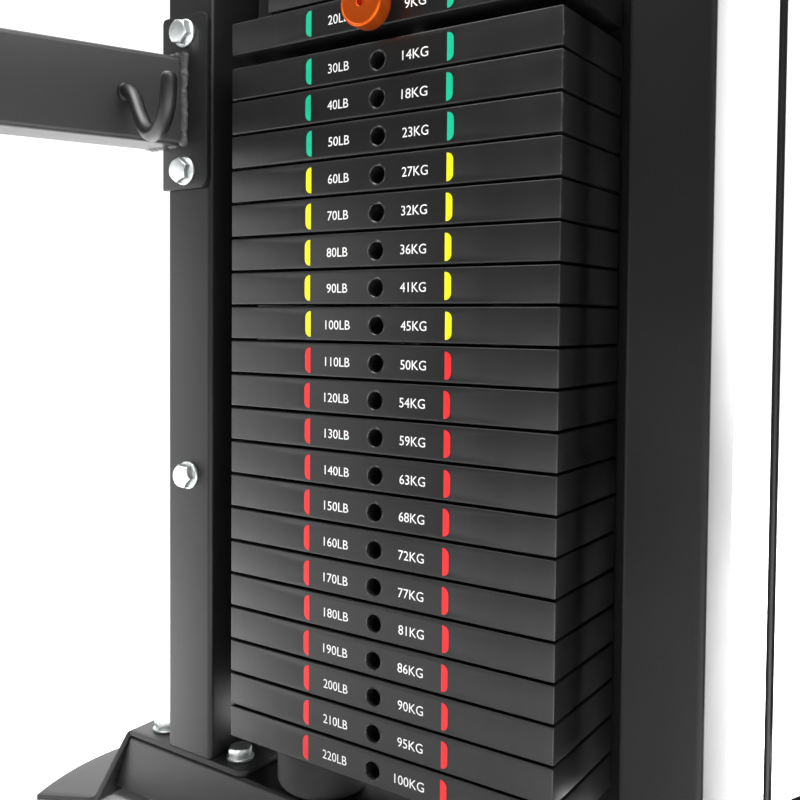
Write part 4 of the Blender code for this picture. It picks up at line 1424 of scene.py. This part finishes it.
swivel = {
    "guardLow": (0.012, -0.053),
    "guardHigh": (0.104, 0.053),
    "guardIn": 0.0125,
    "guardThick": 0.004,
    "guardCorner": 0.020,
    "guardRound": 0.0012,
    "collar": mm((5, 49.5), (10, 49.5), (10, 60.9), (9.2, 61.7), (5, 61.7), (5, 49.5)),
    "arm": mm((12, -9.8), (17, -16), (32, -16), (32, 16), (17, 16), (12, 9.8)),
    "armEnd": 0.0098,
    "armBore": 0.0050,
    "armThick": 0.0035,
    "armRound": 0.0006,
    "armLevel": 0.05125,
    "barLow": (0.0745, -0.0130, -0.046),
    "barHigh": (0.100, 0.0130, -0.041),
    "barBore": 0.0080,
    "barBoreLong": 0.03,
    "barEdge": 0.0006,
    "axle": 0.0050,
    "wrapX": 0.0052,
    "wrapLow": -0.040,
    "wrapEnd": -0.067,
    "ball": 0.0140,
    "ballZ": -0.057,
    "ballBore": 0.0030,
    "ballEnd": 0.985,
    "ballSeam": 0.0006,
    "sleeve": mm((0, -68), (4.6, -68), (5.2, -69), (5.2, -73), (4.4, -74.5), (0, -74.5), (0, -68)),
    "eye": 0.0090,
    "eyeZ": -0.079,
    "wire": 0.0025,
    "boltShare": 0.85,
}
onSwivel = shift(cable["frontX"], 0, trolleyZ)
frontX = swivelOut + wheelRadius
guardY = swivel["guardIn"] + swivel["guardThick"]
guardOutline = roundedOutline(swivel["guardLow"], swivel["guardHigh"], [swivel["guardCorner"]] * 4, 8)
armOutline = arcPoints(0, 0, swivel["armEnd"], 90, 270, 12) + swivel["arm"]
armHole = circlePoints(0, 0, swivel["armBore"])
parts = []
for way in (-1, 1):
    thick, middle = swivel["guardThick"], guardY - swivel["guardThick"] / 2
    parts.append(standingPlate("guard", [guardOutline], thick, swivel["guardRound"], way * middle))
    parts.append(turned("collar", [(r, way * z) for r, z in swivel["collar"]]))
    arm = outlined("arm", [armOutline, armHole], swivel["armThick"], swivel["armRound"])
    parts.append(moved(arm, shift(z=way * swivel["armLevel"])))
bar = addBlock("stopBar", swivel["barLow"], swivel["barHigh"])
point = (frontX, 0, swivel["barLow"][2])
drilled(bar, addRound("drill", swivel["barBore"], point, swivel["barBoreLong"], "z", 40))
parts.append(bevelEdges(bar, swivel["barEdge"], 2))
parts.append(addRound("axle", swivel["axle"], (swivelOut, 0, 0), 2 * swivel["guardIn"] + overlap, "y"))
settleBoth(moved(joined("swivelGuards", parts), onSwivel), "swivel_*", "frame", "swivel_*")
axleX = cable["frontX"] + swivelOut
setAxle("swivelAxle", "swivel_*", swivel["boltShare"], axleX, guardY, trolleyZ, 0.2, 0.6)

around = arcPoints(swivelOut, 0, wheelRadius, 180, 0, 24)
run = stood([(swivel["wrapX"], swivel["wrapLow"]), *around, (frontX, swivel["wrapEnd"])])
settleBoth(moved(rodAlong("wrapCable", run, cable["radius"]), onSwivel), "swivel_*", "cable")
radius = swivel["ball"]
half = arcPoints(0, 0, radius, 3, 75, 9) + [(swivel["ballBore"], radius * swivel["ballEnd"])]
lower, seam = [(r, -z) for r, z in reversed(half)], (radius - swivel["ballSeam"], 0)
ball = turned("stopBall", [*lower, seam, *half, lower[0]], (frontX, 0, swivel["ballZ"]))
settleBoth(moved(ball, onSwivel), "swivel_*", "grip")
circle = [(frontX, y, z) for y, z in circlePoints(0, swivel["eyeZ"], swivel["eye"], 48)]
wire = rodAlong("eye", circle, swivel["wire"], closed=True)
eye = joined("swivelEye", [wire, turned("sleeve", swivel["sleeve"], (frontX, 0, 0))])
settleBoth(moved(eye, onSwivel), "swivel_*", "chrome")
print("swivels in")

# Handle: ring, webbing loop with its stitching, and grip

handle = {
    "at": (0.6170, 0, 1.1720),
    "ring": 0.0140,
    "ringZ": -0.0087,
    "ringGap": 0.0002,
    "webbing": 0.0020,
    "webbingWidth": 0.024,
    "webbingRound": 0.0004,
    # one leg of the loop, from below the ring to the inside of the grip
    "leg": mm(
        (2, -28.7), (1.1, -30.7), (1.1, -34), (1.1, -56), (4, -62), (58, -124.2), (65.5, -135.2),
        (67.2, -146.2), (67.2, -155.2), (66, -158.4), (63, -159.8), (40, -159.8),
    ),
    # where the webbing narrows: from this level down, and to what share
    "narrow": ((-0.012, 0.86), (-0.0300, 0.80), (-0.040, 0.94)),
    "narrowTall": 0.018,
    "narrowDeep": 0.01,
    # the same inside the grip: its half length, the level up to which, and the share
    "inGrip": (0.066, -0.1472, 0.86),
    "stitchRows": (-0.0075, 0.0, 0.0075),
    "stitches": [-0.0355 - 0.0030 * k for k in range(7)],
    "stitch": (0.0004, 0.0003, 0.0010),
    "stitchOut": 0.0021,
    "stitchEdge": 0.0002,
    "gripZ": -0.1542,
    "gripEnd": mm((12.2, -64.5), (17, -65), (17.8, -64.2), (17.8, -60), (17, -59), (16, -57.5)),
    "rib": mm((16, -2.7), (16, 2.7), (15.2, 3.4), (15.2, 4.6)),
    "ribs": [-0.048 + 0.008 * k for k in range(13)],
}
onHandle = shift(*handle["at"])
circle = stood(circlePoints(0, handle["ringZ"], handle["ring"], 48))
settleBoth(moved(rodAlong("handleRing", circle, swivel["wire"], closed=True), onHandle), "handle_*", "chrome")


def banded(path, thick):
    # the outline of a band of one thickness along an open path
    near, far = [], []
    for k, point in enumerate(path):
        along = Vector(path[min(k + 1, len(path) - 1)]) - Vector(path[max(k - 1, 0)])
        across = Vector((-along.y, along.x)).normalized() * thick / 2
        near.append(tuple(Vector(point) + across))
        far.append(tuple(Vector(point) - across))
    return near + far[::-1]


wireZ = handle["ringZ"] - handle["ring"]
bend = swivel["wire"] + handle["ringGap"] + handle["webbing"] / 2
leg = arcPoints(0, wireZ, bend, 80, -20, 5) + handle["leg"]
path = [(-y, z) for y, z in reversed(leg)] + [(0, wireZ + bend)] + leg
upended = Matrix(((0, 0, 1, 0), (1, 0, 0, 0), (0, 1, 0, 0), (0, 0, 0, 1)))
band = banded(path, handle["webbing"])
strap = outlined("handleStrap", [band], handle["webbingWidth"], handle["webbingRound"])
moved(strap, upended)


def narrow(test, share):
    pick(strap, "VERT", test)
    bpy.ops.transform.resize(value=(share, 1, 1), center_override=(0, 0, 0))
    deselectAll()


for top, share in handle["narrow"]:
    low, deep = top - handle["narrowTall"], handle["narrowDeep"]
    narrow(lambda vert: low < vert.co.z <= top and abs(vert.co.y) < deep, share)
half, top, share = handle["inGrip"]
narrow(lambda vert: vert.co.z < top and abs(vert.co.y) < half, share)
parts = [strap]
for x in handle["stitchRows"]:
    for z in handle["stitches"]:
        for y in (-handle["stitchOut"], handle["stitchOut"]):
            low, high = ([a + way * b for a, b in zip((x, y, z), handle["stitch"])] for way in (-1, 1))
            parts.append(bevelEdges(addBlock("stitch", low, high), handle["stitchEdge"], 1))
settleBoth(moved(joined("handleStrap", parts), onHandle), "handle_*", "webbing", "handle_*")
ribs = [(r, y + middle) for middle in handle["ribs"] for r, y in handle["rib"]][:-2]
end = handle["gripEnd"]
profile = [*end, *ribs, *[(r, -y) for r, y in reversed(end)], end[0]]
grip = turned("handleGrip", profile, (0, 0, handle["gripZ"]), "y")
settleBoth(moved(grip, onHandle), "handle_*", "grip", slot="webbing_and_grip")
print("handles in")

# Pull-up bar between the head beams

pullUp = {
    "radius": 0.0170,
    "at": 0.280,
    "level": 2.035,
    "rise": 0.030,
    "overlong": 0.03,
    "kink": (0.30, 0.40),
    "kinkRound": 0.09,
    "flangeHalves": (0.045, 0.050),
    "flangeThick": 0.006,
    "flangeCorner": 0.010,
    "flangeRound": 0.0009,
    "bolts": (0.033, 0.038),
    "boltShare": 0.85,
    "gripAt": 0.18,
    "gripEnd": mm((16.5, -70), (19.6, -70), (20.6, -69)),
    "ridge": mm((20.6, -67), (20, -66), (20.6, -65)),
    "ridges": [0.008 * k for k in range(17)],
}
at, level, thick, (inner, outer) = pullUp["at"], pullUp["level"], pullUp["flangeThick"], pullUp["kink"]
beamSide = -beamHalf - faceGap
seat = rightTower @ Vector((at, beamSide, level))
half = [(seat.x + pullUp["overlong"], level), (outer, level), (inner, level + pullUp["rise"])]
path = stood(half + [(-x, z) for x, z in reversed(half)], seat.y)
bar = rodAlong("pullUpBar", filleted(path, pullUp["kinkRound"], 6), pullUp["radius"], rings=9)
cutMitres(bar, rightTower @ Vector((at, beamSide - overlap, level)))
settle(bar, "frame", "frame", "pull_up_bar")
x, z = pullUp["flangeHalves"]
outline = roundedOutline((at - x, level - z), (at + x, level + z), [pullUp["flangeCorner"]] * 4)
flange = standingPlate("pullUpFlange", [outline], thick, pullUp["flangeRound"], beamSide - thick / 2)
settleBoth(flange, "frame", "frame")
x, z = pullUp["bolts"]
for k, (x, z) in enumerate(((-x, -z), (x, -z), (-x, z), (x, z))):
    place = (f"pullUpBolt{k}", (at + x, beamSide - thick, level + z), 0.25 * k)
    setBolts("frame", toFront, pullUp["boltShare"], place)
discard(boltHead)
end = pullUp["gripEnd"]
ridges = [(r, x + along) for along in pullUp["ridges"] for r, x in pullUp["ridge"]][:-1]
profile = [*end, *ridges, *[(r, -x) for r, x in reversed(end)], end[0]]
for way, name in ((1, "Right"), (-1, "Left")):
    place = (way * pullUp["gripAt"], seat.y, level + pullUp["rise"])
    settle(turned("pullUpGrip" + name, profile, place, "x"), "frame", "grip")
print("pull-up bar in")

# Floor and light


def addStage():
    deselectAll()
    bpy.ops.mesh.primitive_plane_add(size=30, location=(0, 0, 0))
    painted(newPiece("floor"), "floor")


def addWorld():
    world = bpy.data.worlds.new("studio")
    world.use_nodes = True
    bpy.context.scene.world = world
    bench = Bench(world.node_tree)
    east, north, height = bench.split(bench.node("ShaderNodeTexCoord"))
    west = bench.ramp(0 - east, (0.05, 0), (0.45, 1))
    rightGlow = bench.ramp(east, (0.10, 0), (0.75, 1))
    farGlow = west * bench.ramp(north, (0.12, 0), (0.36, 1))
    nearShade = west * bench.ramp(0.5 - north, (0.42, 0), (0.52, 1))
    highShade = west * bench.ramp(height, (0.06, 0), (0.20, 1))
    southShade = bench.ramp(0 - north, (0.45, 0), (0.85, 1))
    shades = (1 - 0.75 * nearShade) * (1 - 0.95 * highShade) * (1 - 0.70 * southShade)
    level = (1.9 + 1.9 * rightGlow + 1.7 * farGlow) * shades
    # the camera sees an even backdrop
    seen = bench.node("ShaderNodeLightPath")
    strength = level * (1 - seen) + 1.2 * seen
    bench.feed(world.node_tree.nodes["Background"], {"Color": (1, 1, 1, 1), "Strength": strength})


def addLamp(name, size, power, place, target):
    lamp = bpy.data.lights.new(name, "AREA")
    lamp.size = size
    lamp.energy = power
    holder = bpy.data.objects.new(name, lamp)
    bpy.context.scene.collection.objects.link(holder)
    holder.location = place
    holder.rotation_euler = (Vector(target) - Vector(place)).to_track_quat("-Z", "Y").to_euler()


# size, power, place and target of each
lamps = {
    "softbox": (0.9, 30, (0.5, -1.6, 2.3), (0.35, 0.1, 0.5)),
    "sideSoftbox": (2.0, 82, (3.6, 0.30, 0.84), (0.6, -0.1, 0.6)),
    "floorSoftbox": (1.0, 210, (1.5, 0.05, 1.7), (1.10, 0, 0)),
    "middleSoftbox": (1.0, 26, (-0.10, 0.30, 2.0), (-0.05, 0.30, 0)),
}
addStage()
addWorld()
for name, settings in lamps.items():
    addLamp(name, *settings)
print("light set")
